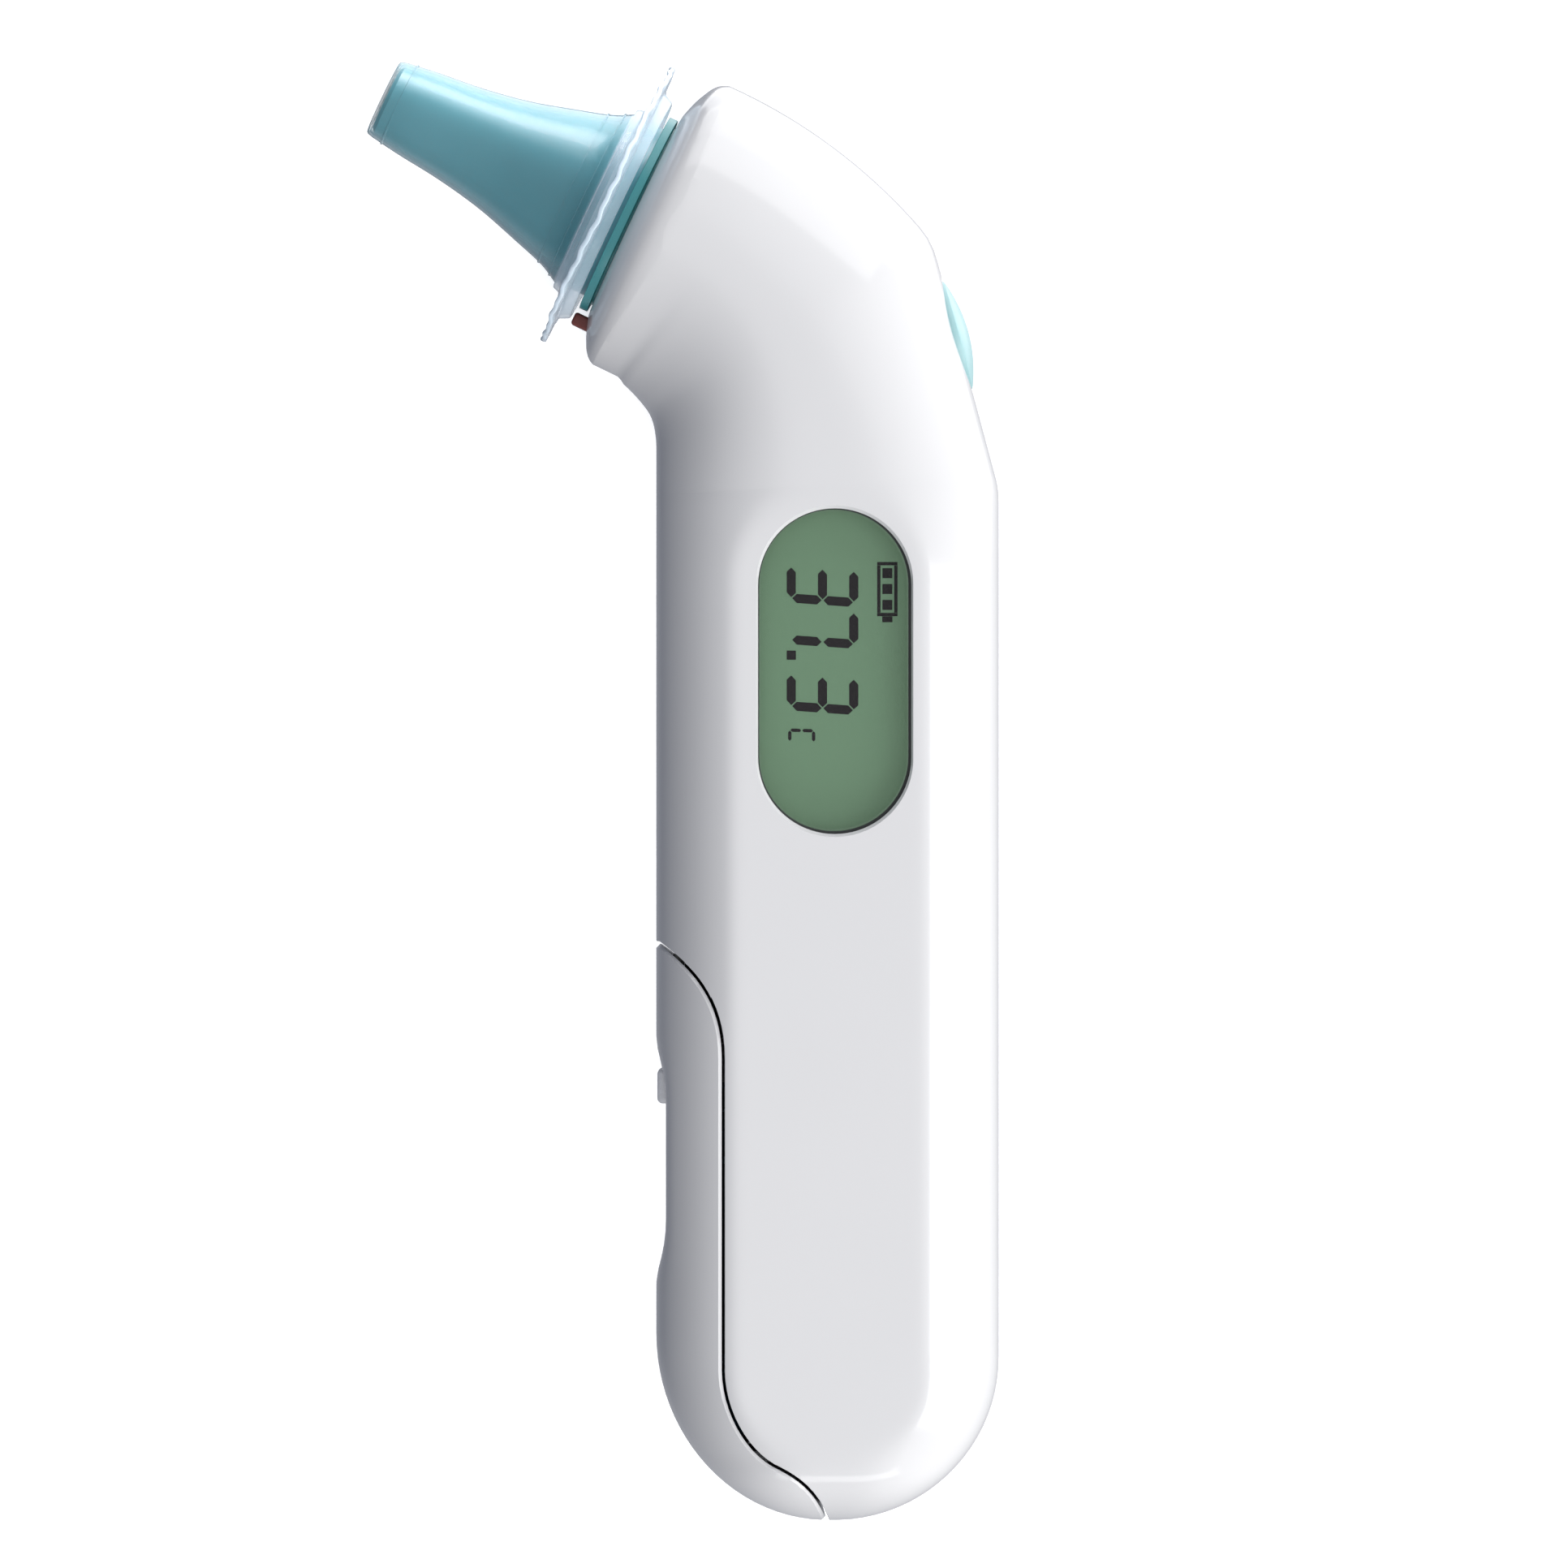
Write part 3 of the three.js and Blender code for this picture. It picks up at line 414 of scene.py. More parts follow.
def lathe(name, profile, segments=128, wave=None):
    """Turns (radius, height) pairs about Y. A profile that starts off the axis closes on itself."""
    verts, rings = [], []
    for radius, height in profile:
        if radius < 1e-6:
            rings.append([len(verts)] * segments)
            verts.append((0, height, 0))
            continue
        rings.append(list(range(len(verts), len(verts) + segments)))
        for k in range(segments):
            t = 2 * math.pi * k / segments
            lift = wave(t, radius) if wave else 0
            verts.append((radius * math.cos(t), height + lift, -radius * math.sin(t)))
    if profile[0][0] > 1e-6:
        rings.append(rings[0])
    return new_object(name, verts, bridge(rings))


def prism(name, outline, low, high, top_grow=0.0):
    """An outline in x and y, carried from one z to another. The top can be wider than the foot."""
    size = len(outline)
    centre = sum((Vector(p) for p in outline), Vector((0, 0))) / size
    verts = [(p[0], p[1], low) for p in outline]
    for p in outline:
        out = (Vector(p) - centre).normalized() * top_grow
        verts.append((p[0] + out.x, p[1] + out.y, high))
    ends = [tuple(range(size)), tuple(range(size, 2 * size))]
    return new_object(name, verts, ends + bridge(ends))


def block(name, low, high, radius=0.0, steps=3):
    """A box between two corners, with its edges rounded."""
    low, high = Vector(low), Vector(high)

    def change(work):
        bmesh.ops.create_cube(work, size=1)
        bmesh.ops.scale(work, vec=high - low, verts=work.verts)
        bmesh.ops.translate(work, vec=(low + high) / 2, verts=work.verts)
        if radius:
            bmesh.ops.bevel(
                work, geom=list(work.edges), offset=radius, segments=steps, profile=0.5, affect="EDGES"
            )

    return face_out(edit(new_object(name, [], []), change))


def oval(half_width, half_height, x=0.0, y=0.0, steps=48):
    angles = [2 * math.pi * k / steps for k in range(steps)]
    return [Vector((x + half_width * math.cos(t), y + half_height * math.sin(t))) for t in angles]


def moved(target, matrix):
    target.data.transform(matrix)
    return target


def combine(target, operation, *tools):
    """Joins or cuts the target with each tool in turn. The tools are used up."""
    for tool in tools:
        modifier = target.modifiers.new("combine", "BOOLEAN")
        modifier.operation = operation
        modifier.solver = "MANIFOLD"
        modifier.object = tool
        graph = bpy.context.evaluated_depsgraph_get()
        mesh = bpy.data.meshes.new_from_object(target.evaluated_get(graph))
        target.modifiers.clear()
        spent = target.data
        target.data = mesh
        bpy.data.meshes.remove(spent)
        discard(tool)
    return target


def cut(target, *tools):
    return combine(target, "DIFFERENCE", *tools)


def join(target, *tools):
    return combine(target, "UNION", *tools)


def common(target, tool):
    return combine(target, "INTERSECT", tool)


def discard(target):
    mesh = target.data
    bpy.data.objects.remove(target)
    bpy.data.meshes.remove(mesh)


# ---- materials


def wire(tree, node, inputs):
    """Sets each of a node's inputs to a value, or links it to an output."""
    for key, value in inputs.items():
        if isinstance(value, bpy.types.NodeSocket):
            tree.links.new(value, node.inputs[key])
        else:
            node.inputs[key].default_value = value


def add(tree, kind, inputs, **settings):
    """A new node with its settings and inputs made."""
    node = tree.nodes.new("ShaderNode" + kind)
    for key, value in settings.items():
        setattr(node, key, value)
    wire(tree, node, inputs)
    return node


def shader(name):
    """A new material, its main shader and its node tree."""
    material = bpy.data.materials.new(name)
    material.use_nodes = True
    tree = material.node_tree
    return material, tree.nodes["Principled BSDF"], tree


def place_on(tree):
    """A point's place on the resting object, in metres."""
    return add(tree, "TexCoord", {}).outputs["Object"]


def noise(tree, scale, detail=3.0):
    inputs = {"Scale": scale, "Detail": detail, "Vector": place_on(tree)}
    return add(tree, "TexNoise", inputs).outputs["Fac"]


def between(tree, share, low, high):
    """A colour or a number that goes from low to high with a share from 0 to 1."""
    if isinstance(low, float):
        return add(tree, "Mix", {0: share, 2: low, 3: high}, data_type="FLOAT").outputs[0]
    ends = {0: share, 6: (*low, 1), 7: (*high, 1)}
    return add(tree, "Mix", ends, data_type="RGBA").outputs[2]


def cloudy(tree, share, color, spread):
    """A colour that a share makes a little darker or lighter."""
    low, high = (tuple(min(1.0, c * factor) for c in color) for factor in (1 - spread, 1 + spread))
    return between(tree, share, low, high)


def relief(tree, scale, strength):
    """The normal of a fine moulded grain."""
    inputs = {"Strength": strength, "Distance": 0.1 * MM, "Height": noise(tree, scale, 2)}
    return add(tree, "Bump", inputs).outputs["Normal"]


def plastic(name, color, roughness, cloud, grain, coat=(0.0, 0.03), gloss=0.5):
    """Moulded plastic. Cloud and grain have a strength and a scale, and coat a weight and a roughness."""
    material, main, tree = shader(name)
    spread, cloud_scale = cloud
    strength, grain_scale = grain
    polish = noise(tree, cloud_scale * 4, 5)
    wire(tree, main, {
        "Base Color": cloudy(tree, noise(tree, cloud_scale), color, spread),
        "Roughness": between(tree, polish, roughness * 0.8, roughness * 1.2),
        "Normal": relief(tree, grain_scale, strength),
        "Coat Weight": coat[0],
        "Coat Roughness": coat[1],
        "Specular IOR Level": gloss,
    })
    return material


def metal(name, color, roughness, streak_axis=1):
    """Plated or turned metal, with fine streaks along one axis."""
    material, main, tree = shader(name)
    scale = [6000.0] * 3
    scale[streak_axis] = 200.0
    stretch = add(tree, "Mapping", {"Vector": place_on(tree), "Scale": scale}).outputs["Vector"]
    share = add(tree, "TexNoise", {"Scale": 1.0, "Vector": stretch}).outputs["Fac"]
    wire(tree, main, {
        "Base Color": cloudy(tree, share, color, 0.12),
        "Roughness": between(tree, share, roughness * 0.7, roughness * 1.3),
        "Metallic": 1.0,
    })
    return material


def ramp(tree, value, low, high, kind="SMOOTHSTEP"):
    """0 where the value is low and 1 where it is high."""
    inputs = {"Value": value, "From Min": low, "From Max": high}
    return add(tree, "MapRange", inputs, interpolation_type=kind).outputs["Result"]


def facing_share(tree):
    """0 where a surface is seen face on, and 1 where it is seen edge on."""
    return add(tree, "LayerWeight", {"Blend": 0.35}).outputs["Facing"]


def pane_material():
    """The display's window: clear face on, and denser towards its edges."""
    material, main, tree = shader("window_pane")
    material.surface_render_method = "BLENDED"
    wire(tree, main, {
        "Base Color": between(tree, noise(tree, 250.0), (0.372, 0.4185, 0.3906), (0.42, 0.4725, 0.441)),
        "Alpha": between(tree, facing_share(tree), 0.02, 0.3),
        "Normal": relief(tree, 500.0, 0.15),
        "Roughness": 0.04,
    })
    return material


def probe_shares(tree):
    """Two shares from a point's place on the probe: 1 at the filter's foot, and 1 at its flange's rim."""
    whole = HANDLE @ PROBE
    axis = whole.col[1].to_3d().normalized()
    middle = whole @ Vector((0, FLANGE_HEIGHT, 0))
    level = middle.dot(axis)
    place = place_on(tree)
    along = add(tree, "VectorMath", {0: place, 1: axis}, operation="DOT_PRODUCT").outputs["Value"]
    away = add(tree, "VectorMath", {0: place, 1: middle}, operation="DISTANCE").outputs["Value"]
    foot = ramp(tree, along, level + 1.8 * MM, level + 1.5 * MM)
    rim = ramp(tree, away, 14.6 * MM, 15.3 * MM)
    return foot, add(tree, "Math", {0: foot, 1: rim}, operation="MULTIPLY").outputs["Value"]


def film_material():
    """The lens filter's film: clear on the cone, dense edge on, milky at the foot, densest at the rim."""
    material, main, tree = shader("filter_film")
    material.surface_render_method = "BLENDED"
    foot, rim = probe_shares(tree)
    facing = facing_share(tree)
    grazing = ramp(tree, facing, 0.25, 0.7)
    # Edge on, the film's colour turns darker: painted shade for the dark outline along its edges.
    cone_color = between(tree, grazing, (0.33, 0.56, 0.61), (0.2, 0.33, 0.39))
    foot_color = between(tree, noise(tree, 250.0), (0.66, 0.78, 0.88), (0.74, 0.86, 0.96))
    color = add(tree, "Mix", {0: foot, 6: cone_color, 7: foot_color}, data_type="RGBA").outputs[2]
    alpha = between(tree, grazing, 0.1, 0.85)
    for share, least, most in ((foot, 0.12, 0.8), (rim, 0.65, 0.95)):
        denser = between(tree, facing, least, most)
        alpha = add(tree, "Mix", {0: share, 2: alpha, 3: denser}).outputs[0]
    normal = relief(tree, 500.0, 0.3)
    wire(tree, main, {"Base Color": color, "Alpha": alpha, "Normal": normal, "Roughness": 0.1})
    return material


def stops(tree, share, colors, kind="LINEAR"):
    """A colour that goes through stops, each with a position and a colour, as a share rises."""
    node = add(tree, "ValToRGB", {"Fac": share})
    node.color_ramp.interpolation = kind
    for position, _ in colors[1:-1]:
        node.color_ramp.elements.new(position)
    for stop, (position, color) in zip(node.color_ramp.elements, colors):
        stop.position = position
        stop.color = (*color, 1)
    return node.outputs["Color"]


def board_material():
    """Circuit board: solder mask with lighter tracks between darker fields."""
    material, main, tree = shader("circuit_board")
    tracks = add(tree, "TexBrick", {
        "Vector": place_on(tree),
        "Scale": 180.0,
        "Mortar Size": 0.02,
        "Color1": (0.016, 0.10, 0.045, 1),
        "Color2": (0.02, 0.12, 0.055, 1),
        "Mortar": (0.035, 0.19, 0.08, 1),
    })
    rough = between(tree, noise(tree, 700.0), 0.3, 0.45)
    wire(tree, main, {"Base Color": tracks.outputs["Color"], "Roughness": rough})
    return material


def lcd_material():
    """Liquid crystal cell: a grey-green polariser with a faint sparkle. Its glow is painted light: an even
    emission that stands in for light spreading inside the pane, though the cell is no lamp."""
    material, main, tree = shader("lcd_cell")
    wire(tree, main, {
        "Base Color": between(tree, noise(tree, 6000.0, 1), (0.084, 0.154, 0.093), (0.092, 0.166, 0.101)),
        "Roughness": 0.35,
        "Specular IOR Level": 0.15,
        # The emission is painted light, an even glow on a cell that is no lamp.
        "Emission Color": (0.054, 0.090, 0.056, 1),
        "Emission Strength": 1.0,
    })
    return material


def jacket_material():
    """Cell jacket: a dark band and a pale one, set by the height along the cell."""
    material, main, tree = shader("cell_jacket")
    split = add(tree, "SeparateXYZ", {"Vector": place_on(tree)})
    ends = [HANDLE_ORIGIN.y + CELL[end] * MM for end in ("low", "high")]
    height = ramp(tree, split.outputs["Y"], *ends, kind="LINEAR")
    bands = ((0.0, (0.03, 0.13, 0.22)), (0.72, (0.55, 0.57, 0.6)))
    wire(tree, main, {
        "Base Color": stops(tree, height, bands, "CONSTANT"),
        "Roughness": between(tree, noise(tree, 400.0), 0.2, 0.32),
        "Metallic": 0.6,
    })
    return material


INK = plastic("lcd_segment", (0.010, 0.006, 0.009), 0.6, (0.1, 900), (0.0, 2000), gloss=0.05)
# The window mask is a dark printed border that also serves as painted shadow in the gap round the pane.
MASK_AND_SHADOW = plastic("window_mask_and_shadow", (0.05, 0.055, 0.055), 0.6, (0.2, 900), (0.05, 2000))
FINISH_OF_SLOT = {
    "white_shell": plastic(
        "shell_plastic", (0.61, 0.61, 0.62), 0.16, (0.012, 60), (0.012, 1800), coat=(0.25, 0.12)
    ),
    "white_button": plastic("button_plastic", (0.66, 0.67, 0.70), 0.28, (0.02, 200), (0.04, 3000)),
    "aqua_button": plastic("start_plastic", (0.27, 0.46, 0.48), 0.34, (0.03, 220), (0.1, 3500)),
    "teal_ring": plastic("ring_plastic", (0.055, 0.31, 0.33), 0.3, (0.05, 200), (0.05, 3000)),
    "teal_nose": plastic(
        "nose_plastic", (0.035, 0.27, 0.34), 0.36, (0.04, 150), (0.03, 3000), coat=(1.0, 0.3)
    ),
    "clear_filter": film_material(),
    "clear_window": pane_material(),
    "dark_lens": plastic("infrared_window", (0.02, 0.025, 0.032), 0.08, (0.2, 500), (0.0, 2000)),
    "red_pin": plastic("pin_plastic", (0.17, 0.03, 0.022), 0.35, (0.08, 400), (0.05, 3000)),
    "lcd_glass": lcd_material(),
    "holder_plastic": plastic("holder_plastic", (0.68, 0.68, 0.68), 0.5, (0.03, 200), (0.1, 2500)),
    "grey_rubber": plastic("layered_rubber", (0.09, 0.09, 0.1), 0.8, (0.3, 900), (0.2, 2000)),
    "green_board": board_material(),
    "black_part": plastic("black_moulding", (0.015, 0.015, 0.016), 0.45, (0.2, 300), (0.15, 3000)),
    "gold_tube": metal("gold_plate", (0.62, 0.40, 0.13), 0.22),
    "nickel_part": metal("nickel_plate", (0.52, 0.53, 0.55), 0.3),
    "cast_alloy": metal("turned_alloy", (0.42, 0.43, 0.45), 0.4, 0),
    "cradle_plastic": plastic("cradle_plastic", (0.52, 0.54, 0.57), 0.5, (0.03, 200), (0.15, 2500)),
    "cell_jacket": jacket_material(),
    "amber_flex": plastic("amber_film", (0.45, 0.14, 0.03), 0.3, (0.15, 600), (0.05, 2000)),
}
SLOT_OF_NODE = {row["node"]: row["material_slot"] for row in frame["record"]["subparts"]}
BODIES = frame["record"]["behaviour"]["bodies"].items()
BODY_OF_NODE = {member: body for body, members in BODIES for member in members}


def settle(target, node, matrix=None, material=None, stands_for=True):
    """Carries a finished mesh from millimetres into the frame, where it rides with its node's body.
    It gets its material, and smooth shading that keeps sharp edges."""
    moved(target, HANDLE @ matrix if matrix else HANDLE)
    slot = SLOT_OF_NODE[node]
    mesh = target.data
    mesh.materials.clear()
    mesh.materials.append(material or FINISH_OF_SLOT[slot])
    mesh.polygons.foreach_set("use_smooth", [True] * len(mesh.polygons))
    mesh.set_sharp_from_angle(angle=math.radians(SHARP_DEGREES))
    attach(target, BODY_OF_NODE[node])
    if stands_for:
        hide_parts(node)
    return target


# ---- shells and door


def door_outline(grow, steps=12):
    """What the door covers, seen from the side: a notch, a straight run and a hooked foot."""
    seam = SEAM["x"] + grow
    outline = [Vector((-PAST_SKIN, 60.6 + grow)), Vector((-17.4, 60 + grow))]
    outline += bezier(
        outline[-1], (-14.2 + grow, 57.6 + grow), (seam, 54.5 + grow), (seam, SEAM["high"]), 16
    )
    outline += [Vector((seam, y)) for y in steps_to(SEAM["high"], SEAM["low"], steps)]
    knee = (-5.7 + grow / 2, 6.2 + grow)
    outline += bezier(outline[-1], (seam, 12 + grow / 2), (-8.6 + grow, 7.8 + grow), knee, steps)
    outline += bezier(
        knee, (-3.2 + grow, 4.95 + grow), (0.3 + grow, 3.2 + grow / 2), (0.4 + grow, -4), steps
    )
    return [*outline, Vector((-PAST_SKIN, -4))]


def skin(x, y):
    """The point of the handle's outer skin over (x, y), and the direction it faces there."""

    def height(x, y):
        section = Section(y, 0)
        half = section.back if x > SPINE_X else section.front
        share = min(1.0, abs(x - SPINE_X) / half)
        crown = section.crown * (1 - share**section.power) ** (1 / section.power)
        return soft_min(crown, section.top, CREASE_SOFTNESS)

    step = 0.01
    fall_x = height(x - step, y) - height(x + step, y)
    fall_y = height(x, y - step) - height(x, y + step)
    return Vector((x, y, height(x, y))), Vector((fall_x, fall_y, 2 * step)).normalized()


def seam_loop():
    """Points along the door's seam on the outer skin, with the way the skin faces, round the handle."""
    least = 0.3
    upper = [skin(*p) for p in door_outline(0, 40)[1:-1] if p.y > least]
    start = upper[0][0]
    front = Section(start.y, 0)
    first = math.atan2(start.z, start.x - SPINE_X)
    across = []
    for k in range(8, 0, -1):
        at = front.point(first + (math.pi - first) * k / 8)
        power = front.power - 1
        facing = Vector((
            -((SPINE_X - at.x) / front.front) ** power / front.front,
            0,
            (max(0.0, at.z) / front.crown) ** power / front.crown,
        ))
        across.append((at, facing.normalized()))
    end = upper[-1][0]
    under = []
    for k in range(1, 6):
        z = end.z * (1 - k / 5)
        y = END_CAP * (1 - math.sqrt(1 - (z / HALF_THICK) ** 2))
        facing = Vector((0, (y - END_CAP) / END_CAP**2, z / HALF_THICK**2))
        under.append((Vector((end.x, y, z)), facing.normalized()))
    half_loop = across + upper + under
    flip = Matrix.Diagonal((1, 1, -1))
    return half_loop + [(flip @ p, flip @ n) for p, n in half_loop[-2:0:-1]]


def seam_groove(name):
    """A closed V-shaped tool along the seam, which eases both of its edges."""
    loop = seam_loop()
    verts = []
    for i, (at, facing) in enumerate(loop):
        along = (loop[(i + 1) % len(loop)][0] - loop[i - 1][0]).normalized()
        side = along.cross(facing).normalized() * SEAM["ease"]
        deep = facing * SEAM["ease"]
        verts += [at + deep, at + side, at - deep, at - side]
    numbers = [range(k, k + 4) for k in range(0, len(verts), 4)]
    return new_object(name, verts, bridge([*numbers, numbers[0]]))


def head_tool():
    """Everything behind the head's rounded front rim."""
    last = HEAD_FRONT[-1][1]
    profile = [(0, 0), (RING_BORE, 0), *HEAD_FRONT, (FAR, last), (FAR, -FAR), (0, -FAR)]
    flatten = Matrix.Diagonal((1, 1, HEAD_FLATTEN, 1))
    return moved(lathe("head_tool", rounded(profile, HEAD_RIM_ROUND), 160), HEAD @ flatten)


def start_oval(name, grow, low, high, top_grow=0.0):
    """A short oval plug square to the sloped flat, for the start button's hole."""
    outline = oval(START["length"] / 2 + grow, START["width"] / 2 + grow, steps=96)
    tool = prism(name, outline, low, high, top_grow)
    return moved(tool, START_FRAME @ Matrix.Rotation(math.radians(-90), 4, "X"))


def hollow_body():
    """The whole housing with its hollow, the probe's bore and the start button's hole."""
    body = common(body_form("body", 0, HEAD_TURN, 256, 0.9, RIM_SETBACK), head_tool())
    cavity = body_form("cavity", WALL, HEAD_TURN - 2.2, 96, 2.2)
    bore = lathe("bore", [(0, -10), (RING_BORE, -10), (RING_BORE, 4), (0, 4)], 160)
    slot = block("pin_slot", *PIN_SLOT, 0.3)
    hole = start_oval("start_hole", GAP, **START_HOLE)
    lead_in = start_oval("start_lead_in", GAP, **START_LEAD_IN)
    return cut(body, cavity, moved(bore, PROBE), moved(slot, PROBE), hole, lead_in)


def power_block(name, x0, x1, height, width, radius, steps=3):
    """A rounded block from one x to another, centred on the power button."""
    low = (x0, POWER["y"] - height / 2, -width / 2)
    return block(name, low, (x1, POWER["y"] + height / 2, width / 2), radius, steps)


def window_outline(wider=0.0, longer=0.0, shift=0.0, steps=40):
    """The display window's outline, with half-round ends: made wider and longer, or shifted to one side."""
    radius = (WINDOW["width"] + wider) / 2
    rise = (WINDOW["height"] + longer) / 2 - radius
    x, y = WINDOW["x"] - shift, WINDOW["y"] + shift
    made = []
    for side, first in ((1, 0), (-1, math.pi)):
        for k in range(steps + 1):
            t = first + math.pi * k / steps
            made.append(Vector((x + radius * math.cos(t), y + side * rise + radius * math.sin(t))))
    return made


def make_shells():
    """The housing's two halves and the battery door, all cut from one hollow body."""
    hollow = hollow_body()
    region, gap = (prism("door", door_outline(grow), -PAST_SKIN, PAST_SKIN) for grow in (0, GAP))
    door = common(linked("door_panel", hollow.data.copy()), region)
    housing = cut(hollow, gap)
    cut(door, seam_groove("door_groove"))
    cut(housing, seam_groove("housing_groove"))

    rear = linked("rear_half", housing.data.copy())
    cut(rear, block("upper_half", (-FAR, -FAR, -HALF_SEAM), (FAR, FAR, FAR)))
    cut(housing, block("lower_half", (-FAR, -FAR, -FAR), (FAR, FAR, HALF_SEAM)))
    housing.name = "display_half"

    outline = window_outline()
    cut(housing, prism("window_hole", outline, 10, 20))
    cut(housing, prism("window_lead_in", outline, PANE["top"] - 0.1, HALF_THICK + 0.5, 0.75))
    for x, y in HOUSING_SCREWS:
        for half, rods in ((rear, REAR_BOSS), (housing, DISPLAY_BOSS)):
            boss, *holes = [prism("rod", oval(size, size, x, y), low, high) for size, low, high in rods]
            cut(join(half, boss), *holes)
    settle(housing, "display_side_shell")
    settle(rear, "rear_side_shell")

    for outside, high in TONGUE_STEPS:
        low_corner = (outside, TONGUE["low"], -TONGUE["half"])
        join(door, block("tongue", low_corner, (TONGUE["inside"], high, TONGUE["half"]), 0.2))
    height, width = (POWER[key] + 2 * GAP for key in ("height", "width"))
    settle(cut(door, power_block("power_hole", -PAST_SKIN, -12, height, width, 0.5)), "battery_door")


def make_power_button():
    """The raised key, on a wider collar that keeps it behind the door's skin."""
    rear = POWER["rear"]
    key = power_block("power_key", POWER["face"], rear, POWER["height"], POWER["width"], 0.55, 5)
    front = rear - POWER_COLLAR["thickness"]
    collar = power_block("power_collar", front, rear, POWER_COLLAR["height"], POWER_COLLAR["width"], 0.1)
    settle(join(key, collar), "power_memory_button")


# ---- display

SEGMENTS = {
    "a": ((0, 1), (1, 1)), "b": ((1, 1), (1, 0.5)), "c": ((1, 0.5), (1, 0)), "d": ((0, 0), (1, 0)),
    "e": ((0, 0), (0, 0.5)), "f": ((0, 0.5), (0, 1)), "g": ((0, 0.5), (1, 0.5)),
}
LCD_TOP = 13.4
INK_LOW = LCD_TOP + 0.005
INK_HIGH = LCD_TOP + 0.04
DIGIT = {"height": 7.4, "width": 4.2, "bar": 0.94, "slant": 0.07}
UNIT = {"height": 2.8, "width": 1.5, "bar": 0.34, "slant": 0.03}


def bar_outline(start, end, bar, gap):
    """A bar with pointed ends, kept a small gap short of the corners."""
    start, end = Vector(start), Vector(end)
    along = (end - start).normalized()
    side = Vector((-along.y, along.x)) * bar / 2
    tip_a, tip_b = start + along * gap, end - along * gap
    neck_a, neck_b = tip_a + along * bar / 2, tip_b - along * bar / 2
    return [tip_a, neck_a + side, neck_b + side, tip_b, neck_b - side, neck_a - side]


def ink(name, outlines):
    """Flat dark shapes on the cell, as one mesh."""
    marks = new_object(name, [], [])
    for outline in outlines:
        mark = prism("mark", outline, INK_LOW, INK_HIGH)
        edit(marks, lambda work, mesh=mark.data: work.from_mesh(mesh))
        discard(mark)
    settle(face_out(marks), "lcd_glass", material=INK, stands_for=False)


def seven(lit, x, y, style):
    """A seven-bar character that reads down the display, with its foot at x and its left edge at y."""
    made = []
    inner = Vector((style["width"] - style["bar"], style["height"] - style["bar"]))
    for key in lit:
        ends = [Vector((a * inner.x, b * inner.y)) for a, b in SEGMENTS[key]]
        outline = bar_outline(*ends, style["bar"], 0.07 * style["bar"] + 0.03)
        half = style["bar"] / 2
        made.append([
            (x + half + p.y, y - half - p.x - style["slant"] * p.y) for p in outline
        ])
    return made


def square(x, y, width, height):
    return [(x, y), (x + width, y), (x + width, y - height), (x, y - height)]


def battery_icon(x, y, width, length, line):
    """A full cell seen from the side: a frame with a nub at its far end and three bars inside."""
    body = length - 0.6
    room = body - 2 * line
    shapes = [square(x, top, width, line) for top in (y, y - body + line)]
    shapes += [square(side, y - line - 0.02, line, room - 0.04) for side in (x, x + width - line)]
    shapes.append(square(x + width / 4, y - body - 0.02, width / 2, length - body))
    for i in range(3):
        bar_y = y - line - room * (i + 0.18) / 3
        shapes.append(square(x + line + 0.2, bar_y, width - 2 * line - 0.4, room * 0.21))
    return shapes


def make_display():
    low, high = (HANDLE.inverted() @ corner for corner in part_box("lcd_glass"))
    settle(block("lcd_plate", low, high, 0.12), "lcd_glass")
    left = WINDOW["x"] - 4.95
    first = WINDOW["y"] + 11.3
    shapes = seven("abgcd", left, first, DIGIT)
    shapes += seven("abc", left, first - 4.3, DIGIT)
    shapes.append(square(left, first - 9.15, 0.95, 0.95))
    shapes += seven("abgcd", left, first - 11.15, DIGIT)
    shapes += seven("adef", left + 0.15, first - 17.2, UNIT)
    shapes += battery_icon(left + 9.35, first, 2.1, 6.2, 0.34)
    ink("lcd_readout", shapes)

    # The pane sits a touch to one side of its hole, so the dark gap is wider on the other side. The dark mask
    # under the gap is a printed border and also painted shadow of the hole's edge, wider where that shadow
    # falls.
    shift = 0.09
    top = window_outline(-PANE["gap"], -PANE["gap"], shift)
    foot = window_outline(1.6, 3)
    pane = join(
        prism("pane", top, PANE["low"], PANE["top"] - 0.2),
        prism("pane_top", top, PANE["top"] - 0.21, PANE["top"], -0.2),
        prism("pane_foot", foot, PANE["foot_low"], PANE["foot_high"]),
    )
    settle(pane, "display_window")
    # Under the gap, a dark printed border that is also painted shadow.
    low, high = PANE["foot_high"] + 0.01, PANE["foot_high"] + 0.06
    opening = prism("opening", window_outline(-0.4, -0.4, shift), low - 1, high + 1)
    mask = cut(prism("window_mask_and_shadow", window_outline(1.2, 2), low, high), opening)
    settle(mask, "display_window", material=MASK_AND_SHADOW, stands_for=False)


# ---- start button


def make_start_button():
    """A domed oval with a rounded edge, on a wider foot and a stem."""
    half = START["length"] / 2
    foot = half + 0.8
    profile = [(0, -5), (1.6, -5), (1.6, -3.5), (foot, -3.5), (foot, -2.9), (half, -2.9)]
    steps = 24
    edge, edge_start = 0.35, 0.94
    for i in range(steps + 1):
        share = 1 - i / steps
        fall = edge * max(0.0, (share - edge_start) / (1 - edge_start)) ** 2
        profile.append((half * share, START["bulge"] * (1 - share * share) - fall))
    button = lathe("start_dome", profile, 128)
    moved(button, Matrix.Diagonal((1, 1, START["width"] / START["length"], 1)))
    settle(button, "start_button", START_FRAME)


# ---- probe


def flange_wave(angle, radius):
    """The flange's rim is slightly wavy, as thin moulded film is."""
    ripple = sum(size * math.sin(count * angle + lead) for size, count, lead in FLANGE_WAVES)
    return smooth(12.8, 15.8, radius) * ripple


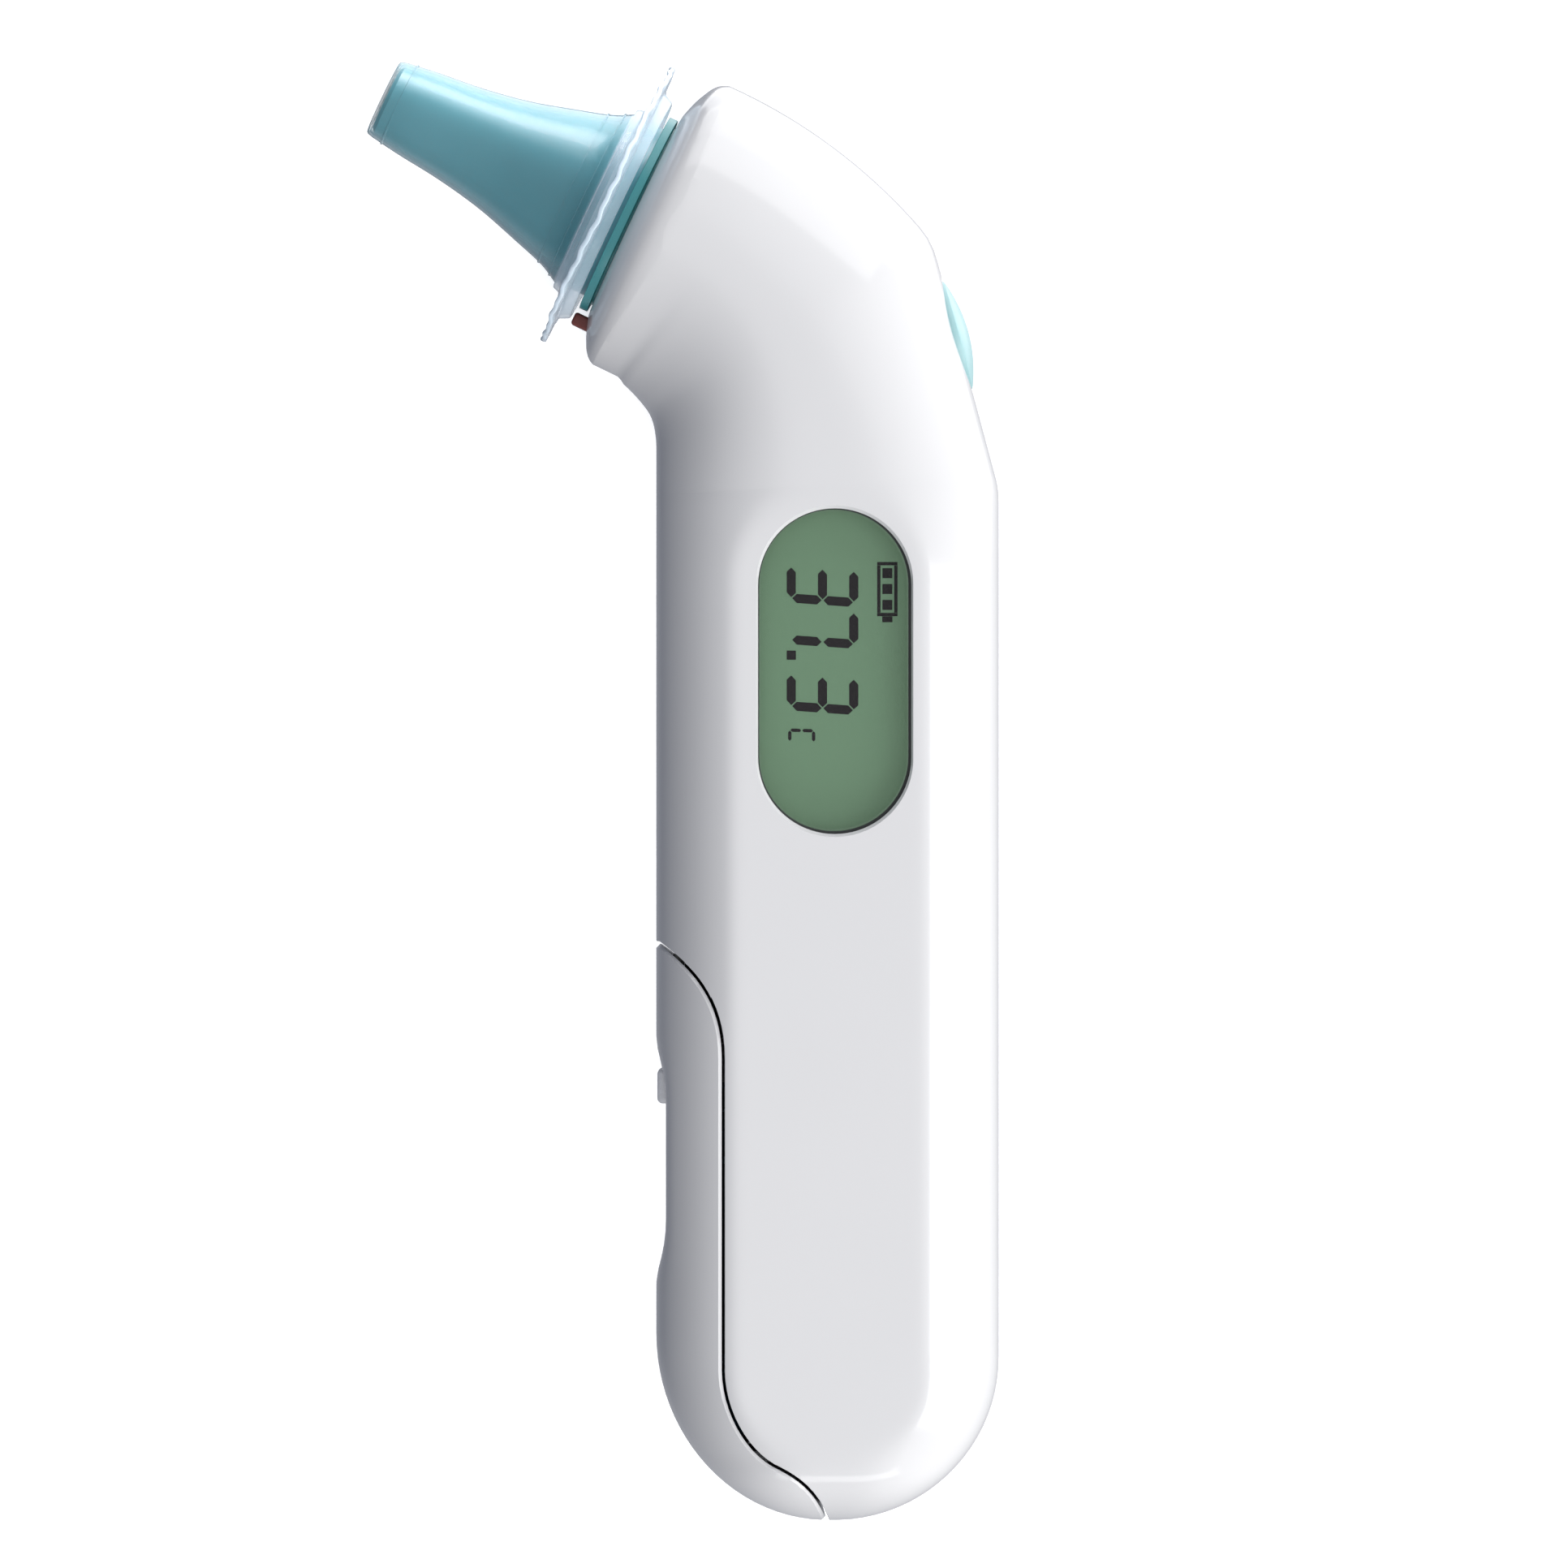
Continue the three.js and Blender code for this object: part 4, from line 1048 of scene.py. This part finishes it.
def with_ridges(curve, heights, rise=0.12, half=0.14):
    """The cone's outline with a small rounded ridge at each of some heights."""
    made = []
    for low, high in zip(curve, curve[1:]):
        made.append(low)
        for height in heights:
            if low.y <= height < high.y:
                share = (height - low.y) / (high.y - low.y)
                at = low.lerp(high, share)
                slope = (high - low).normalized()
                out = Vector((slope.y, -slope.x)) * rise
                made += [at - slope * half, at - slope * half / 2 + out, at + slope * half / 2 + out]
                made.append(at + slope * half)
    return [*made, curve[-1]]


def make_filter():
    """The clear cover, with its stepped foot and thin flange. Its profile runs round from the tip."""
    cone = spline(CONE)
    inside = [Vector((p.x - FILTER_WALL, p.y)) for p in cone]
    inside.append(Vector((3.9, TIP - FILTER_WALL - 0.03)))
    outer_foot = rounded(
        [(9.8, 4.4), (10.15, 4.55), (10.3, 4.3), (10.45, 3.75), (11.0, 3.6), (11.5, 3.35), (15.2, 3.1),
         (15.45, 3.35), (15.8, 3.25), (15.8, 2.85), (15.3, 2.8), (13, 2.7), (12.4, 1.5), (12, 1.5),
         (12.5, 2.5), (10.4, 3.1), (10, 3.9), (9.55, 4.4)],
        0.2,
    )[1:-1]
    end = rounded([(0, TIP), (4.1, TIP), (4.3, 28.2)], 0.3)[1:-1]
    profile = [Vector((0, TIP)), *end, *with_ridges(cone, RIDGES)[::-1]]
    profile += [*outer_foot, *inside, Vector((0, TIP - FILTER_WALL))]
    settle(lathe("filter_cover", profile, 192, flange_wave), "lens_filter", PROBE)


def make_nose():
    """The nose inside the cover, with its wide foot in the head and the dark window in its tip."""
    shrink = FILTER_WALL + FILTER_GAP
    cone = [Vector((p.x - shrink, min(p.y, NOSE_TIP - 0.3))) for p in spline(CONE)]
    inner = [Vector((p.x - NOSE_WALL, p.y)) for p in reversed(cone)]
    inner[0] = Vector((2.9, NOSE_TIP))
    base = [(7.9, 3), (8.2, -2), (8.2, -13), (12.4, -13), (12.4, -12), (13.4, -12), (13.4, -11)]
    profile = [*cone, (3.4, NOSE_TIP), *inner, *base, (9.6, -11), (9.6, 3)]
    settle(lathe("nose_cone", profile, 160), "probe_nose", PROBE)
    window = [(0, NOSE_TIP - 1.2), (2.65, NOSE_TIP - 1.2), (2.65, NOSE_TIP - 0.4), (0, NOSE_TIP - 0.4)]
    settle(lathe("nose_window", rounded(window, 0.15), 64), "probe_window", PROBE)


def make_ring():
    """The ring, with a groove round it and an ear on each side, where its springs push."""
    groove = [(RING_RADIUS, RING_GROOVE["low"]), (RING_RADIUS - RING_GROOVE["depth"], RING_GROOVE["low"])]
    groove += [(radius, RING_GROOVE["high"]) for radius, _ in reversed(groove)]
    profile = [(RING_INNER, RING_REAR), (RING_RADIUS, RING_REAR), *groove]
    profile += [(RING_RADIUS, RING_FRONT), (RING_INNER, RING_FRONT)]
    ring = lathe("push_ring", rounded(profile, 0.08, True), 160)
    for side in (1, -1):
        z0, z1 = sorted((side * EAR["inner"], side * EAR["outer"]))
        join(ring, block("ear", (-EAR["half"], RING_REAR, z0), (EAR["half"], EAR["front"], z1), 0.1))
    settle(ring, "ejector_ring", PROBE)


def make_pin():
    near, far = -PIN["radius"] + PIN["half"], -PIN["radius"] - PIN["half"]
    half = PIN["half_width"]
    stem = block("pin_stem", (far, PIN["low"], -half), (near, PIN["high"], half), 0.3, 4)
    stop = block("pin_stop", (-13.2, -5.8, -2.4), (near, -4.8, 2.4), 0.1)
    settle(join(stem, stop), "filter_detector_pin", PROBE)


# ---- battery bay and screws


def make_cells():
    length = CELL["high"] - CELL["low"]
    shoulder = length - CELL["nub"]
    radius = CELL["radius"]
    profile = [(0, 0), (radius - 2.2, 0), (radius - 1.6, 0.35), (radius - 0.6, 0), (radius, 0.6)]
    profile += [(radius, shoulder - 0.6), (radius - 0.6, shoulder), (radius - 1.2, shoulder - 0.3)]
    profile += [(2.75, shoulder - 0.1), (2.6, length), (0, length)]
    for number, side in ((1, 1), (2, -1)):
        points = [(r, a if side > 0 else length - a) for r, a in profile]
        cell = lathe(f"cell_body_{number}", rounded(points, 0.3), 96)
        at = Matrix.Translation((CELL["x"], CELL["low"], side * CELL["z"]))
        settle(cell, f"battery_cell_{number}", at)


def make_screws():
    for number, (x, y) in enumerate(HOUSING_SCREWS, 1):
        profile = [(0, -6.2), (1.3, -6.15), (2, -5.6), (2, -4.1), (0.8, -4.1), (0.8, 5.6), (0, 6)]
        screw = lathe(f"screw_{number}", rounded(profile, 0.15), 48)
        moved(screw, Matrix.Translation((x, y, 0)) @ Matrix.Rotation(math.radians(90), 4, "X"))
        for across, up in ((1.2, 0.25), (0.25, 1.2)):
            cut(screw, block("slot", (x - across, y - up, -7), (x + across, y + up, -5.4)))
        settle(screw, f"housing_screw_{number}")


def coil(name, spring):
    """A coil about Y as one closed solid."""
    wire = spring["wire"]
    up = Vector((0, 1, 0))
    around, steps = 10, round(spring["turns"] * 28)
    angles = [2 * math.pi * k / around for k in range(around)]
    rings = []
    for i in range(steps + 1):
        share = i / steps
        t = 2 * math.pi * spring["turns"] * share
        out = Vector((math.cos(t), 0, math.sin(t)))
        height = spring["low"] + wire / 2 + (spring["high"] - spring["low"] - wire) * share
        at = out * spring["radius"] + up * height
        rings.append([at + (out * math.cos(a) + up * math.sin(a)) * wire / 2 for a in angles])
    ends = [sum(ring, Vector()) / around for ring in (rings[0], rings[-1])]
    return loft(name, rings, *ends)


def add_spring(name, node, place, spring):
    """A coil spring, settled where its node rides, with a mesh of its own."""
    made = settle(coil(name, spring), node, place)
    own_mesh(made)


def make_springs():
    """The start button's spring, and the two in front of the ring's ears."""
    add_spring("start_spring", "start_button_spring", START_FRAME, START_SPRING)
    ear_middle = (EAR["inner"] + EAR["outer"]) / 2 + 0.3
    for number, side in ((1, 1), (2, -1)):
        name, node = f"ring_spring_{number}", f"ejector_spring_{number}"
        place = PROBE @ Matrix.Translation((0, 0, side * ear_middle))
        add_spring(name, node, place, RING_SPRING)


def dress_cad_nodes():
    """The nodes that keep their CAD shape get their finish in place of the plain colour."""
    for node, target in frame["nodes"].items():
        if target.hide_render:
            continue
        for slot in target.material_slots:
            slot.material = FINISH_OF_SLOT[SLOT_OF_NODE[node]]


# ---- floor, light and camera

FLOOR = {"half": 1.5, "cells": 12, "drop": 0.05 * MM}
# Each light: its offset from what it lights, its size, its power and, where it isn't white, its colour.
OBJECT_LIGHTS = {
    "key": ((0.62, -0.16, 0.40), (0.5, 0.7), 3.7),
    "top": ((0.22, 0.75, 0.32), (1.0, 0.38), 2.2),
    "rim": ((0.30, 0.78, -0.12), (1.1, 0.5), 3.6),
    "back": ((0.28, 0.55, -0.62), (1.2, 0.7), 4.5),
    "low": ((0.08, -0.72, 0.42), (0.9, 0.3), 1.8),
}
PROBE_LIGHT = ((0.18, 0.5, 0.02), (0.6, 0.3), 3.8, (1, 0.94, 0.95))
FLOOR_LIGHT = ((0, 0, 1.2), (1.2, 1.2), 20.0)
ROOM_TOWARDS = (0.84, -0.42, 0.36)
ROOM_COLORS = ((0.12, (0.09, 0.105, 0.145)), (0.36, (0.44, 0.45, 0.485)), (0.8, (0.95, 0.95, 0.96)))
CAMERA = {"distance": 1.6, "sensor": 36, "height_share": 1.0758, "aim_x": 0.6604, "aim_y": 0.5047}


def make_floor():
    """A plain pale floor, which casts no shadow and throws no light back on the object."""
    grid = {"x_segments": FLOOR["cells"], "y_segments": FLOOR["cells"], "size": FLOOR["half"]}
    floor = edit(new_object("floor", [], []), lambda work: bmesh.ops.create_grid(work, **grid))
    moved(floor, Matrix.Translation((0, 0, CAD_LOW.z - FLOOR["drop"])))
    material, main, tree = shader("pale_floor")
    wire(tree, main, {
        "Base Color": between(tree, noise(tree, 8.0), (0.9, 0.9, 0.905), (0.93, 0.93, 0.935)),
        "Roughness": 0.9,
        "Specular IOR Level": 0.0,
        "Emission Color": (1, 1, 1, 1),
        "Emission Strength": 0.25,
    })
    floor.data.materials.append(material)
    floor.visible_diffuse = False
    floor.visible_glossy = False
    floor.visible_shadow = False
    floor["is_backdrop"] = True
    return floor


def area_light(name, target, offset, size, watts, color=(1, 1, 1)):
    """A soft rectangular light at an offset from what it is aimed at."""
    data = bpy.data.lights.new(name, "AREA")
    data.shape = "RECTANGLE"
    data.size, data.size_y = size
    data.energy = watts
    data.color = color
    light = linked(name, data)
    light.location = target + Vector(offset)
    light.rotation_mode = "QUATERNION"
    light.rotation_quaternion = (-Vector(offset)).to_track_quat("-Z", "Y")
    return light


def make_world():
    """A soft room: bright above and towards +X, dim and cool below and towards -X, and pale to the camera."""
    world = bpy.data.worlds.new("room")
    bpy.context.scene.world = world
    world.use_nodes = True
    tree = world.node_tree
    tree.nodes.clear()
    place = add(tree, "TexCoord", {}).outputs["Generated"]
    facing = add(tree, "VectorMath", {0: place, 1: ROOM_TOWARDS}, operation="DOT_PRODUCT")
    share = ramp(tree, facing.outputs["Value"], -1, 1, kind="LINEAR")
    room = add(tree, "Background", {"Color": stops(tree, share, ROOM_COLORS)})
    seen = add(tree, "Background", {"Color": (*ROOM_COLORS[-1][1], 1)})
    path = add(tree, "LightPath", {})
    inputs = {0: path.outputs["Is Camera Ray"], 1: room.outputs[0], 2: seen.outputs[0]}
    add(tree, "OutputWorld", {"Surface": add(tree, "MixShader", inputs).outputs["Shader"]})


def light_only(lights, name, members):
    """Keeps lights to some objects."""
    receivers = bpy.data.collections.new(name)
    for member in members:
        receivers.objects.link(member)
    for light in lights:
        light.light_linking.receiver_collection = receivers


def make_lights(floor):
    """Soft lights on the object, one more on its probe, and an even light on the floor."""
    middle = (CAD_LOW + CAD_HIGH) / 2
    probe_middle = HANDLE @ PROBE @ Vector((0, 15, 0))
    shown = [o for o in bpy.context.scene.objects if o.type == "MESH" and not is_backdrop(o)]
    covered = [o for o in shown if o.name in ("filter_cover", "nose_cone")]
    lights = [area_light(name, middle, *values) for name, values in OBJECT_LIGHTS.items()]
    light_only(lights, "object_only", shown)
    light_only([area_light("sheen", probe_middle, *PROBE_LIGHT)], "probe_only", covered)
    light_only([area_light("floor_light", middle, *FLOOR_LIGHT)], "floor_only", [floor])


def make_camera():
    """Looks straight down on the display side from far away, so that the view is nearly parallel."""
    size = CAD_HIGH - CAD_LOW
    aim = CAD_LOW + Vector((CAMERA["aim_x"] * size.x, CAMERA["aim_y"] * size.y, size.z / 2))
    data = bpy.data.cameras.new("camera")
    data.sensor_width = CAMERA["sensor"]
    data.lens = CAMERA["sensor"] * CAMERA["distance"] / (CAMERA["height_share"] * size.y)
    data.clip_end = 10
    camera = linked("camera", data)
    camera.location = aim + Vector((0, 0, CAMERA["distance"]))
    bpy.context.scene.camera = camera


make_shells()
make_power_button()
make_display()
make_start_button()
make_filter()
make_nose()
make_ring()
make_pin()
make_cells()
make_screws()
make_springs()
dress_cad_nodes()
make_world()
make_lights(make_floor())
make_camera()
bpy.context.scene.view_settings.view_transform = "Standard"
